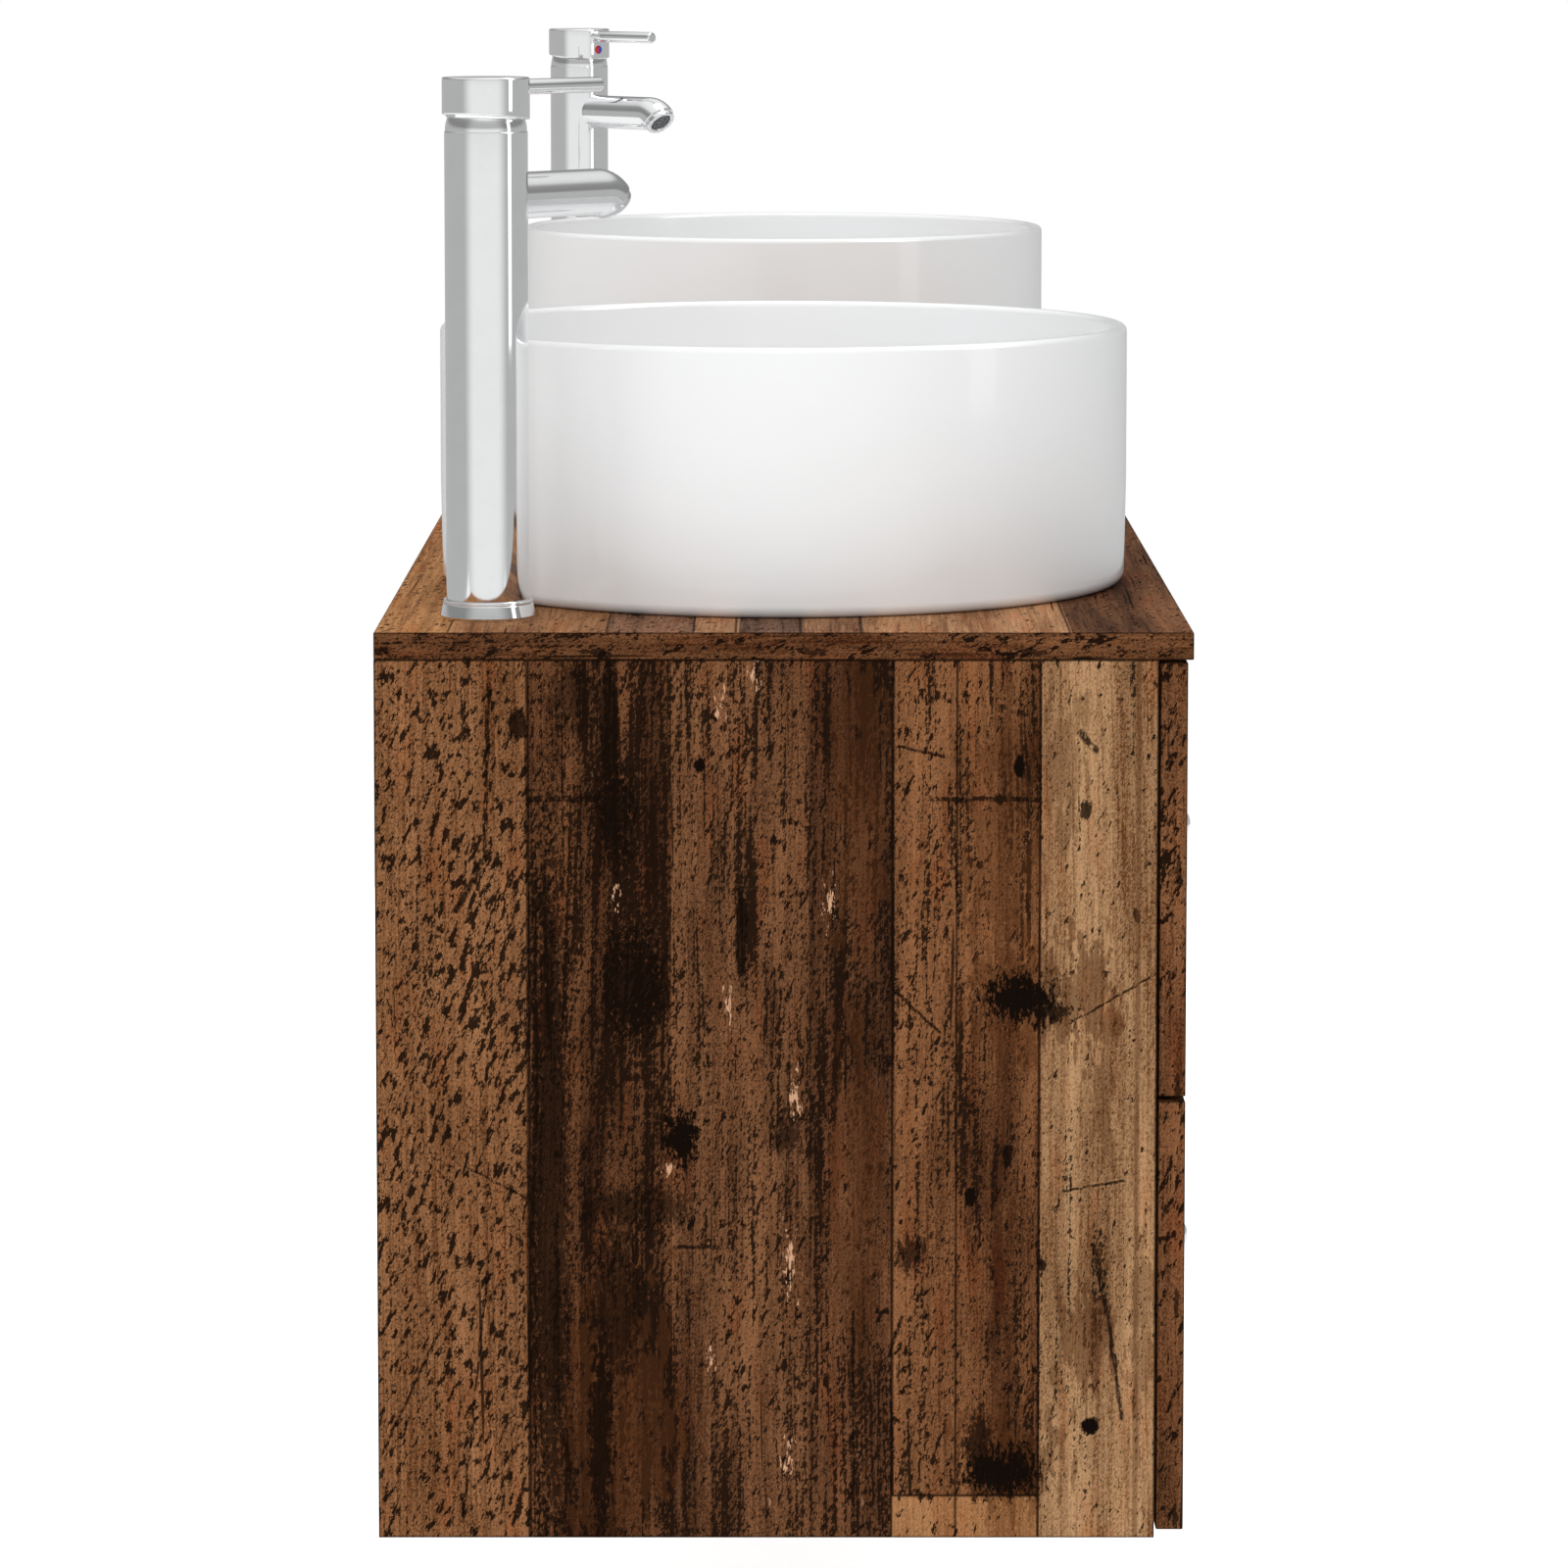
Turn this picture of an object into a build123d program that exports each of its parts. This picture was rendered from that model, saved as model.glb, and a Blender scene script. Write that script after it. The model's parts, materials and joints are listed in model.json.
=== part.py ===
from build123d import *
import math
import os

# Wall-hung double vanity: drawer carcass, two round vessel basins, two tall single-lever mixers.
# Frame: +X to the right and +Z up for a person facing the drawers, who looks along +Y. The wall is the
# plane y = 0, and the origin is the centre of the four wall screws.

# ---------------------------------------------------------------- carcass sizes
cabinet_width = 1600.0
cabinet_height = 500.0      # underside of the carcass to the slab's top face
slab_thickness = 15.0
slab_edge_round = 0.8
slab_overhang = 3.0         # slab past the faces of the fronts
side_depth = 425.0
carcass_board = 15.0
column_count = 4
rail_height = 80.0
wall_screw_inset = 150.0    # cabinet end to the wall screws
wall_screw_hole = 8.0

# ---------------------------------------------------------------- drawer sizes
front_board = 15.0
front_edge_round = 0.8
front_back_gap = 1.0        # carcass edge to the back of a closed front
front_top_gap = 1.6         # slab underside to the upper fronts
front_row_gap = 2.8
front_column_gap = 3.0
front_lift = 4.0            # the lower fronts stop this far above the carcass underside
service_depth = 96.0        # wall to the backs of the drawer boxes
box_height = 150.0
box_lift = 20.0             # front's lower edge to the box's lower edge
box_board = 12.0
box_side_gap = 3.0
base_board = 5.0
base_lift = 10.0
base_groove = 6.0
base_fit = 0.2
runner_height = 14.4
runner_lift = 60.0          # box's lower edge to the runner's lower face
runner_bite = 6.0           # how far the runner reaches into the drawer side
runner_setback = 4.0        # carcass front edge to the runner's front end
runner_play = 0.3
runner_tip_play = 0.5
notch_width = 110.0         # clear width around the waste in the upper end drawers
notch_reach = 45.0          # clear depth in front of the waste's axis

# ---------------------------------------------------------------- joinery sizes
dowel_radius = 4.0
dowel_fit = 0.1
dowel_shallow = 10.0
dowel_deep = 20.0
dowel_end_gap = 0.5
back_dowel_y = -60.0
front_dowel_setback = 55.0  # front edge of the end boards to the front dowels
divider_dowel_y = -100.0
divider_dowel_setback = 85.0
back_cam_y = -110.0
front_cam_setback = 105.0
cam_radius = 7.5
cam_depth = 11.5
cam_setback = 24.0          # joint face to the cam's axis
cam_fit = 0.1
bolt_radius = 3.4
bolt_in_side = 9.0

# ---------------------------------------------------------------- knob sizes
knob_radius = 10.0
knob_reach = 16.0
knob_crown = 7.0            # height of the domed top
knob_neck_radius = 5.0
knob_neck_length = 8.0
knob_foot_radius = 7.0
knob_foot_length = 1.6
stud_radius = 2.0
stud_length = 13.0
stud_fit = 0.15

# ---------------------------------------------------------------- basin and waste sizes
basin_radius = 200.0
basin_height = 150.0
basin_wall = 8.0
rim_round = 3.5
foot_round = 7.0
bowl_round = 22.0
floor_at_wall = 17.0
floor_at_waste = 12.5
basin_end_gap = 57.6        # cabinet end to the basin's outside
waste_recess_depth = 2.5
waste_flange_radius = 32.0
waste_recess_fit = 1.0
waste_radius = 20.95
waste_bore = 17.0
waste_thread_length = 35.0  # slab's top face down to the end of the thread
waste_step = 3.0
tail_radius = 16.0
tail_bore = 13.5
tail_length = 40.0
waste_basin_hole = 22.5
waste_slab_hole = 23.0
waste_fit = 0.1
spider_depth = 18.0         # waste flange's seat down to the stem guide
spider_thickness = 6.0
spider_arm = 4.0
plug_radius = 30.0
plug_thickness = 5.0
plug_crown = 1.6
plug_seat_gap = 0.3
plug_stem_radius = 4.0
plug_stem_length = 40.0
plug_stem_play = 0.08
gasket_thickness = 3.0
gasket_width = 9.0
gasket_fit = 0.2
nut_thickness = 9.0
nut_across_flats = 50.0
nut_fit = 0.1

# ---------------------------------------------------------------- mixer sizes
mixer_gap = 24.12           # basin's outside to the mixer's column
mixer_angle = 41.424        # way from the basin's axis to the mixer's, turned from X towards the wall
column_radius = 23.0
column_height = 268.3       # slab's top face to the seam under the dome
column_wall = 8.0
base_ring_height = 10.0
base_ring_top_wall = 1.6    # past the column's radius
base_ring_foot_wall = 3.5
base_ring_land = 1.5
base_ring_fit = 0.15
shank_setback = 6.5         # column's radius less the shank's
shank_wall = 3.5
shank_grip = 12.0
shank_length = 62.0         # slab's top face down to the shank's lower end
shank_fit = 0.1
mixer_slab_play = 1.0
mixer_rail_gap = 10.0       # least room between the back rails and the nut's corners
inlet_block = 18.0
inlet_radius = 4.5
inlet_depth = 12.0
inlets_apart = 13.5
spout_radius = 13.0
spout_bore = 9.0
spout_drop = 36.3           # seam down to the spout's axis
spout_straight = 88.0       # mixer axis to the start of the spout's bend
spout_bend_radius = 16.0
spout_bend_angle = 45.0
spout_fit = 0.1
spout_root_gap = 0.8        # cartridge to the spout's inner end
aerator_radius = 11.8
aerator_length = 4.0
aerator_spigot = 2.0
aerator_fit = 0.2
aerator_bore = 8.2
screen_thickness = 1.5
screen_recess = 1.0
cartridge_wall = 5.5        # column's radius less the cartridge's
cartridge_drop = 40.3       # seam down to the cartridge's seat
cartridge_height = 34.0
cartridge_fit = 0.1
retainer_hole = 9.2
dome_setback = 0.4          # column's radius less the dome's
dome_shell = 2.5
dome_opening_angle = 42.0   # from the upright axis
cap_overhang = 1.2          # cap's radius past the column's
cap_roof = 6.7              # thickness over the dome, past the cap's play
cap_play = 0.4
cap_back_rise = 9.7         # seam up to the lower edge of the cap, wall side
cap_front_rise = 5.7        # lower edge of the cap, spout side
cap_edge_round = 1.0
cap_boss_radius = 6.5
cap_boss_drop = 11.0        # underside of the cap's roof down to the boss's lower end
turret_radius = 8.6
turret_base = 1.6
turret_play = 0.3
turret_top_above_pivot = 4.0
stem_width = 7.0
stem_depth = 6.0
stem_heel = 3.5
stem_side_play = 0.3
stem_fit = 0.1
trunnion_radius = 1.5
trunnion_play = 0.06
rod_radius = 4.4
rod_clearance = 1.1         # top of the dome up to the rod's axis
rod_tip = 91.0              # mixer axis to the rod's tip
rod_bite = 9.0              # how far the rod reaches into the cap
rod_tip_round = 1.5
rod_fit = 0.08
dot_radius = 3.4
dot_rise = 13.2             # seam up to the mark's middle
dot_stand = 0.5
dot_depth = 1.2
dot_fit = 0.1

# ---------------------------------------------------------------- places worked out from the sizes
slab_depth = side_depth + front_back_gap + front_board + slab_overhang
box_depth = side_depth + front_back_gap - service_depth
wall_screws_apart = cabinet_width - 2 * wall_screw_inset
screw_rows_apart = cabinet_height - slab_thickness - carcass_board - rail_height
underside = -(carcass_board + rail_height / 2 + screw_rows_apart / 2)
deck = underside + cabinet_height
slab_underside = deck - slab_thickness
floor_top = underside + carcass_board
half_width = cabinet_width / 2
inner_half = half_width - carcass_board
column_pitch = cabinet_width / column_count
divider_x = [column_pitch * (i + 1) - half_width for i in range(column_count - 1)]
rail_z = [-screw_rows_apart / 2, screw_rows_apart / 2]
front_back = -(side_depth + front_back_gap)
front_face = front_back - front_board
front_height = (cabinet_height - slab_thickness - front_top_gap - front_row_gap - front_lift) / 2
front_foot = {"lower": underside + front_lift,
              "upper": underside + front_lift + front_height + front_row_gap}
basin_x = half_width - basin_end_gap - basin_radius
basin_y = -slab_depth / 2
mixer_away = basin_radius + mixer_gap + column_radius
nut_corner = nut_across_flats / math.sqrt(3)
mixer_y = min(basin_y + mixer_away * math.sin(math.radians(mixer_angle)), -(carcass_board + mixer_rail_gap + nut_corner))
mixer_x = basin_x + math.sqrt(mixer_away ** 2 - (mixer_y - basin_y) ** 2)
base_ring_top_radius = column_radius + base_ring_top_wall
base_ring_foot_radius = column_radius + base_ring_foot_wall
column_bore = column_radius - column_wall
shank_radius = column_radius - shank_setback
shank_bore = shank_radius - shank_wall
mixer_slab_hole = shank_radius + mixer_slab_play
cartridge_radius = column_radius - cartridge_wall
dome_radius = column_radius - dome_setback
cap_radius = column_radius + cap_overhang
spout_root = cartridge_radius + spout_root_gap
rod_root = cap_radius - rod_bite
spout_height = column_height - spout_drop
cartridge_seat = column_height - cartridge_drop
cap_top = column_height + dome_radius + cap_play + cap_roof
cap_edge_back = column_height + cap_back_rise
cap_edge_front = column_height + cap_front_rise
rod_height = column_height + dome_radius + rod_clearance
dot_height = column_height + dot_rise
sides = {"left": -1, "right": 1}


def block(low, high, mode=Mode.ADD):
    """An upright block between two opposite corners."""
    middle = ((low[0] + high[0]) / 2, (low[1] + high[1]) / 2)
    with BuildSketch(Plane.XY.offset(low[2])) as outline:
        with Locations(middle):
            Rectangle(abs(high[0] - low[0]), abs(high[1] - low[1]))
    extrude(outline.sketch, amount=high[2] - low[2], mode=mode)


def turned(foot, corners, mode=Mode.ADD):
    """A closed outline of (radius, height) corners turned about the upright line through foot."""
    with BuildSketch(Plane(origin=foot, x_dir=(1, 0, 0), z_dir=(0, -1, 0))) as outline:
        with BuildLine():
            Polyline(*corners, close=True)
        make_face()
    revolve(outline.sketch, axis=Axis(foot, (0, 0, 1)), mode=mode)


def bore_down(centre, radius, top, bottom, mode=Mode.SUBTRACT):
    """A round upright hole or post between two heights."""
    with BuildSketch(Plane.XY.offset(bottom)) as outline:
        with Locations(centre):
            Circle(radius)
    extrude(outline.sketch, amount=top - bottom, mode=mode)


def hex_nut(centre, top, hole):
    """A hexagon nut hanging below the height top."""
    with BuildSketch(Plane.XY.offset(top - nut_thickness)) as outline:
        with Locations(centre):
            RegularPolygon(nut_across_flats / 2, 6, major_radius=False)
            Circle(hole + nut_fit, mode=Mode.SUBTRACT)
    extrude(outline.sketch, amount=nut_thickness)


def crown(rim, top):
    """An arc from rim (radius, height) to the axis at height top, with its centre on the axis."""
    drop = top - rim[1]
    ball = (rim[0] ** 2 + drop ** 2) / (2 * abs(drop))
    half = math.asin(min(1.0, rim[0] / ball)) / 2
    middle = (ball * math.sin(half), top - math.copysign(ball * (1 - math.cos(half)), drop))
    return ThreePointArc(rim, middle, (0, top))


def save(part, label):
    """Label a finished piece and write it."""
    part.label = label
    export_step(part, "parts/" + label + ".step")


os.makedirs("parts", exist_ok=True)

# ---------------------------------------------------------------- dowels, cams and cam bolts
# A dowel seat is a plane on the joint face: its normal points into the board that takes the long end.
dowel_rows_y = [back_dowel_y, -side_depth / 2, front_dowel_setback - side_depth]
divider_rows_y = [divider_dowel_y, divider_dowel_setback - side_depth]
cam_rows_y = [back_cam_y, front_cam_setback - side_depth]
rail_dowel_offset = 25.0
rail_mid_y = -carcass_board / 2

end_seats = []
cam_joints = []
for side in sides.values():
    inward = (-side, 0, 0)
    for y in dowel_rows_y:
        end_seats.append(Plane(origin=(side * inner_half, y, underside + carcass_board / 2), z_dir=inward))
    for z in rail_z:
        for offset in (-rail_dowel_offset, rail_dowel_offset):
            end_seats.append(Plane(origin=(side * inner_half, rail_mid_y, z + offset), z_dir=inward))
        cam_joints.append((side, rail_mid_y, z, (0, -1, 0)))
    for y in cam_rows_y:
        cam_joints.append((side, y, underside + carcass_board / 2, (0, 0, 1)))

upright_x = [-half_width + carcass_board / 2] + divider_x + [half_width - carcass_board / 2]
deck_seats = []
for x in upright_x:
    for y in dowel_rows_y:
        deck_seats.append(Plane(origin=(x, y, slab_underside), z_dir=(0, 0, -1)))
floor_seats = []
rail_seats = []
for x in divider_x:
    for y in divider_rows_y:
        floor_seats.append(Plane(origin=(x, y, floor_top), z_dir=(0, 0, 1)))
    for z in rail_z:
        rail_seats.append(Plane(origin=(x, -carcass_board, z), z_dir=(0, -1, 0)))


def bore_dowels(seats):
    """Cut the blind holes of a row of dowels in the board being built."""
    for seat in seats:
        with BuildSketch(seat.offset(-dowel_shallow)) as outline:
            Circle(dowel_radius + dowel_fit)
        extrude(outline.sketch, amount=dowel_shallow + dowel_deep, mode=Mode.SUBTRACT)


def cam_plane(joint):
    """The open end of a cam's pocket, facing out of the board."""
    side, y, z, out = joint
    along = side * (inner_half - cam_setback)
    half = carcass_board / 2
    return Plane(origin=(along, y + out[1] * half, z + out[2] * half), z_dir=out)


def bolt_plane(joint):
    """The cam bolt's outer end, facing into the cabinet."""
    side, y, z, out = joint
    return Plane(origin=(side * (inner_half + bolt_in_side), y, z), z_dir=(-side, 0, 0))


def bore_cams(joints):
    """Cut the cam pockets and the bolt holes in the board being built."""
    for joint in joints:
        with BuildSketch(cam_plane(joint)) as outline:
            Circle(cam_radius + cam_fit)
        extrude(outline.sketch, amount=-(cam_depth + cam_fit), mode=Mode.SUBTRACT)
        bore_bolt(joint)


def bore_bolt(joint):
    """Cut one cam bolt's hole."""
    with BuildSketch(bolt_plane(joint)) as outline:
        Circle(bolt_radius + cam_fit)
    extrude(outline.sketch, amount=bolt_in_side + cam_setback, mode=Mode.SUBTRACT)


with BuildPart() as dowels:
    for seat in end_seats + deck_seats + floor_seats + rail_seats:
        with BuildSketch(seat.offset(dowel_end_gap - dowel_shallow)):
            Circle(dowel_radius)
        extrude(amount=dowel_shallow + dowel_deep - 2 * dowel_end_gap)
save(dowels.part, "carcass_dowels")

with BuildPart() as cams:
    for joint in cam_joints:
        with BuildSketch(cam_plane(joint)):
            Circle(cam_radius)
        extrude(amount=-cam_depth)
        with BuildSketch(bolt_plane(joint)):
            Circle(bolt_radius)
        extrude(amount=bolt_in_side + cam_setback - cam_radius - cam_fit)
save(cams.part, "cam_fittings")

# ---------------------------------------------------------------- carcass boards
with BuildPart() as slab:
    block((-half_width, -slab_depth, slab_underside), (half_width, 0, deck))
    fillet(slab.edges(), radius=slab_edge_round)
    for side in sides.values():
        bore_down((side * basin_x, basin_y), waste_slab_hole, deck, slab_underside)
        bore_down((side * mixer_x, mixer_y), mixer_slab_hole, deck, slab_underside)
    bore_dowels(deck_seats)
save(slab.part, "top_panel")

for name, side in sides.items():
    with BuildPart() as end_board:
        block((side * inner_half, -side_depth, underside), (side * half_width, 0, slab_underside))
        bore_dowels([seat for seat in end_seats + deck_seats if seat.origin.X * side > inner_half - 1])
        for joint in cam_joints:
            if joint[0] == side:
                bore_bolt(joint)
    save(end_board.part, "side_panel_" + name)

with BuildPart() as dividers:
    for x in divider_x:
        block((x - carcass_board / 2, -side_depth, floor_top),
              (x + carcass_board / 2, -carcass_board, slab_underside))
    bore_dowels(floor_seats + rail_seats)
    bore_dowels([seat for seat in deck_seats if abs(seat.origin.X) < inner_half])
save(dividers.part, "divider_panels")

with BuildPart() as bottom:
    block((-inner_half, -side_depth, underside), (inner_half, 0, floor_top))
    bore_dowels(floor_seats)
    bore_dowels([seat for seat in end_seats if seat.origin.Z < floor_top])
    bore_cams([joint for joint in cam_joints if joint[3][2] == 1])
save(bottom.part, "bottom_panel")

with BuildPart() as rails:
    for z in rail_z:
        block((-inner_half, -carcass_board, z - rail_height / 2), (inner_half, 0, z + rail_height / 2))
    bore_dowels(rail_seats)
    bore_dowels([seat for seat in end_seats if seat.origin.Z > floor_top])
    bore_cams([joint for joint in cam_joints if joint[3][1] == -1])
    with BuildSketch(Plane.XZ):
        with GridLocations(wall_screws_apart, screw_rows_apart, 2, 2):
            Circle(wall_screw_hole / 2)
    extrude(amount=carcass_board, mode=Mode.SUBTRACT)
save(rails.part, "back_rails")


# ---------------------------------------------------------------- drawers
def bay_walls(column):
    """The two carcass faces that a drawer column runs between."""
    left = column_pitch * column - half_width
    right = left + column_pitch
    left += carcass_board if column == 0 else carcass_board / 2
    right -= carcass_board if column == column_count - 1 else carcass_board / 2
    return left, right


def box_foot(row):
    """Height of a drawer box's lower edge."""
    return front_foot[row] + box_lift


def waste_side(row, column):
    """Which end's waste this drawer goes round: -1, 1, or 0 for none."""
    if row == "lower":
        return 0
    left, right = bay_walls(column)
    for side in sides.values():
        if left < side * basin_x < right:
            return side
    return 0


def board(low, high, cuts=()):
    """One loose board, with blocks cut out of it."""
    with BuildPart() as piece:
        block(low, high)
        for cut_low, cut_high in cuts:
            block(cut_low, cut_high, Mode.SUBTRACT)
    return piece.part


def drawer_side(outer, inward, foot):
    """One side board with its runner groove outside and its base groove inside."""
    back = front_back + box_depth
    inner = outer + inward * box_board
    groove_foot = foot + runner_lift - runner_play
    groove_end = outer + inward * (runner_bite + runner_tip_play)
    slot_end = inner - inward * base_groove
    base_foot = foot + base_lift
    return board((min(outer, inner), front_back, foot), (max(outer, inner), back, foot + box_height),
                 [((min(outer, groove_end), front_back, groove_foot),
                   (max(outer, groove_end), back, groove_foot + runner_height + 2 * runner_play)),
                  ((min(inner, slot_end), front_back, base_foot),
                   (max(inner, slot_end), back, base_foot + base_board + base_fit))])


def drawer_box(row, column):
    """The boards behind a front: sides, base and back, and the walls of the notch round a waste."""
    left, right = bay_walls(column)
    left += box_side_gap
    right -= box_side_gap
    foot = box_foot(row)
    top = foot + box_height
    back = front_back + box_depth
    back_front = back - box_board
    inner_left = left + box_board
    inner_right = right - box_board
    reach = base_groove - base_fit
    base_low = foot + base_lift + base_fit / 2
    base_top = base_low + base_board
    base = ((inner_left - reach, front_back, base_low), (inner_right + reach, back, base_top))
    boards = [drawer_side(left, 1, foot), drawer_side(right, -1, foot)]
    side = waste_side(row, column)
    if side == 0:
        boards.append(board(*base))
        boards.append(board((inner_left, back_front, base_top), (inner_right, back, top)))
        return boards
    notch_left = side * basin_x - notch_width / 2
    notch_right = side * basin_x + notch_width / 2
    notch_front = basin_y - notch_reach
    wall_front = notch_front - box_board
    boards.append(board(*base, [((notch_left, notch_front, base_low), (notch_right, back, base_top))]))
    boards.append(board((inner_left, back_front, base_top), (notch_left - box_board, back, top)))
    boards.append(board((notch_right + box_board, back_front, base_top), (inner_right, back, top)))
    boards.append(board((notch_left - box_board, wall_front, base_top), (notch_left, back, top)))
    boards.append(board((notch_right, wall_front, base_top), (notch_right + box_board, back, top)))
    boards.append(board((notch_left, wall_front, base_top), (notch_right, notch_front, top)))
    return boards


for row in ("upper", "lower"):
    for column in range(column_count):
        tag = row + "_" + str(column + 1)
        middle_x = column_pitch * (column + 0.5) - half_width
        middle_z = front_foot[row] + front_height / 2
        half_front = (column_pitch - front_column_gap) / 2
        with BuildPart() as front:
            block((middle_x - half_front, front_face, front_foot[row]),
                  (middle_x + half_front, front_back, front_foot[row] + front_height))
            fillet(front.edges(), radius=front_edge_round)
            with BuildSketch(Plane(origin=(middle_x, front_face, middle_z), z_dir=(0, 1, 0))):
                Circle(stud_radius + stud_fit)
            extrude(amount=front_board, mode=Mode.SUBTRACT)
        save(front.part, "drawer_front_" + tag)

        save(Compound(children=drawer_box(row, column)), "drawer_box_" + tag)

        with BuildPart() as knob:
            rim_at = knob_crown - knob_reach
            with BuildSketch(Plane(origin=(middle_x, front_face, middle_z), x_dir=(1, 0, 0), z_dir=(0, 0, 1))):
                with BuildLine():
                    Polyline((0, stud_length), (stud_radius, stud_length), (stud_radius, 0),
                             (knob_foot_radius, 0), (knob_foot_radius, -knob_foot_length),
                             (knob_neck_radius, -knob_foot_length), (knob_neck_radius, -knob_neck_length),
                             (knob_radius, rim_at))
                    crown((knob_radius, rim_at), -knob_reach)
                    Line((0, -knob_reach), (0, stud_length))
                make_face()
            revolve(axis=Axis((middle_x, front_face, middle_z), (0, 1, 0)))
        save(knob.part, "drawer_knob_" + tag)

with BuildPart() as runners:
    for row in ("upper", "lower"):
        for column in range(column_count):
            left, right = bay_walls(column)
            low = box_foot(row) + runner_lift
            reach = box_side_gap + runner_bite
            front_end = -side_depth + runner_setback
            back_end = front_back + box_depth
            block((left, front_end, low), (left + reach, back_end, low + runner_height))
            block((right - reach, front_end, low), (right, back_end, low + runner_height))
save(runners.part, "drawer_runners")

# ---------------------------------------------------------------- basins, wastes and plugs
waste_seat = floor_at_waste - waste_recess_depth
flange_top = waste_seat + waste_recess_depth
tail_end = -waste_thread_length - tail_length

for name, side in sides.items():
    foot = (side * basin_x, basin_y, deck)
    with BuildPart() as basin:
        inner = basin_radius - basin_wall
        floor_edge = inner - bowl_round
        round45 = 1 - math.sqrt(0.5)
        with BuildSketch(Plane(origin=foot, x_dir=(1, 0, 0), z_dir=(0, -1, 0))):
            with BuildLine():
                Line((waste_basin_hole, 0), (basin_radius - foot_round, 0))
                ThreePointArc((basin_radius - foot_round, 0),
                              (basin_radius - foot_round * round45, foot_round * round45),
                              (basin_radius, foot_round))
                Line((basin_radius, foot_round), (basin_radius, basin_height - rim_round))
                ThreePointArc((basin_radius, basin_height - rim_round),
                              (basin_radius - rim_round * round45, basin_height - rim_round * round45),
                              (basin_radius - rim_round, basin_height))
                Line((basin_radius - rim_round, basin_height), (inner + rim_round, basin_height))
                ThreePointArc((inner + rim_round, basin_height),
                              (inner + rim_round * round45, basin_height - rim_round * round45),
                              (inner, basin_height - rim_round))
                Line((inner, basin_height - rim_round), (inner, floor_at_wall + bowl_round))
                ThreePointArc((inner, floor_at_wall + bowl_round),
                              (inner - bowl_round * round45, floor_at_wall + bowl_round * round45),
                              (floor_edge, floor_at_wall))
                Polyline((floor_edge, floor_at_wall), (waste_flange_radius + waste_recess_fit, floor_at_waste),
                         (waste_flange_radius + waste_recess_fit, waste_seat),
                         (waste_basin_hole, waste_seat),
                         (waste_basin_hole, 0))
            make_face()
        revolve(axis=Axis(foot, (0, 0, 1)))
    save(basin.part, "basin_" + name)

    with BuildPart() as plug:
        plug_foot = flange_top + plug_seat_gap
        stem_foot = plug_foot - plug_stem_length
        with BuildSketch(Plane(origin=foot, x_dir=(1, 0, 0), z_dir=(0, -1, 0))):
            with BuildLine():
                Polyline((0, stem_foot), (plug_stem_radius, stem_foot), (plug_stem_radius, plug_foot),
                         (plug_radius, plug_foot), (plug_radius, plug_foot + plug_thickness - plug_crown))
                crown((plug_radius, plug_foot + plug_thickness - plug_crown), plug_foot + plug_thickness)
                Line((0, plug_foot + plug_thickness), (0, stem_foot))
            make_face()
        revolve(axis=Axis(foot, (0, 0, 1)))
    save(plug.part, "waste_plug_" + name)

with BuildPart() as wastes:
    for side in sides.values():
        turned((side * basin_x, basin_y, deck),
               [(waste_bore, flange_top), (waste_bore, waste_step - waste_thread_length),
                (tail_bore, waste_step - waste_thread_length), (tail_bore, tail_end), (tail_radius, tail_end),
                (tail_radius, -waste_thread_length), (waste_radius, -waste_thread_length),
                (waste_radius, waste_seat), (waste_flange_radius, waste_seat), (waste_flange_radius, flange_top)])
        guide_foot = deck + waste_seat - spider_depth - spider_thickness
        with BuildSketch(Plane.XY.offset(guide_foot)):
            with Locations((side * basin_x, basin_y)):
                Circle(plug_stem_radius + spider_arm)
                Rectangle(2 * waste_bore + waste_fit, spider_arm)
                Rectangle(spider_arm, 2 * waste_bore + waste_fit)
                Circle(plug_stem_radius + plug_stem_play, mode=Mode.SUBTRACT)
        extrude(amount=spider_thickness)
save(wastes.part, "waste_bodies")


# ---------------------------------------------------------------- mixers
def mixer_plane(side, height):
    """A level plane on the mixer's axis, with its X towards the middle of the basin."""
    reach = (side * (basin_x - mixer_x), basin_y - mixer_y, 0)
    return Plane(origin=(side * mixer_x, mixer_y, deck + height), x_dir=reach, z_dir=(0, 0, 1))


def mixer_foot(side):
    return side * mixer_x, mixer_y, deck


def upright_section(side):
    """The upright plane through the mixer's axis and the spout: X outwards, Y up."""
    level = mixer_plane(side, 0)
    return Plane(origin=level.origin, x_dir=level.x_dir, z_dir=level.x_dir.cross(level.z_dir))


def cross_plane(side, distance, height):
    """A plane square to the spout's direction, facing away from the mixer's axis."""
    level = mixer_plane(side, height)
    start = level.from_local_coords((distance, 0, 0))
    return Plane(origin=start, x_dir=level.y_dir, z_dir=level.x_dir)


def spout_path(side, start):
    """Level out from the column, then bent down at the tip."""
    angle = math.radians(spout_bend_angle)
    bend_x = spout_straight + spout_bend_radius * math.sin(angle)
    bend_z = spout_height - spout_bend_radius * (1 - math.cos(angle))
    half = angle / 2
    middle_x = spout_straight + spout_bend_radius * math.sin(half)
    middle_z = spout_height - spout_bend_radius * (1 - math.cos(half))
    with BuildLine(upright_section(side)) as path:
        Line((start, spout_height), (spout_straight, spout_height))
        ThreePointArc((spout_straight, spout_height), (middle_x, middle_z), (bend_x, bend_z))
    return path.wires()[0]


def outlet_plane(side):
    """The plane of the spout's outlet, facing down the stream."""
    angle = math.radians(spout_bend_angle)
    section = upright_section(side)
    x = spout_straight + spout_bend_radius * math.sin(angle)
    z = spout_height - spout_bend_radius * (1 - math.cos(angle))
    start = section.from_local_coords((x, z, 0))
    down = section.x_dir * math.cos(angle) - Vector(0, 0, 1) * math.sin(angle)
    return Plane(origin=start, x_dir=section.z_dir, z_dir=down)


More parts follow.
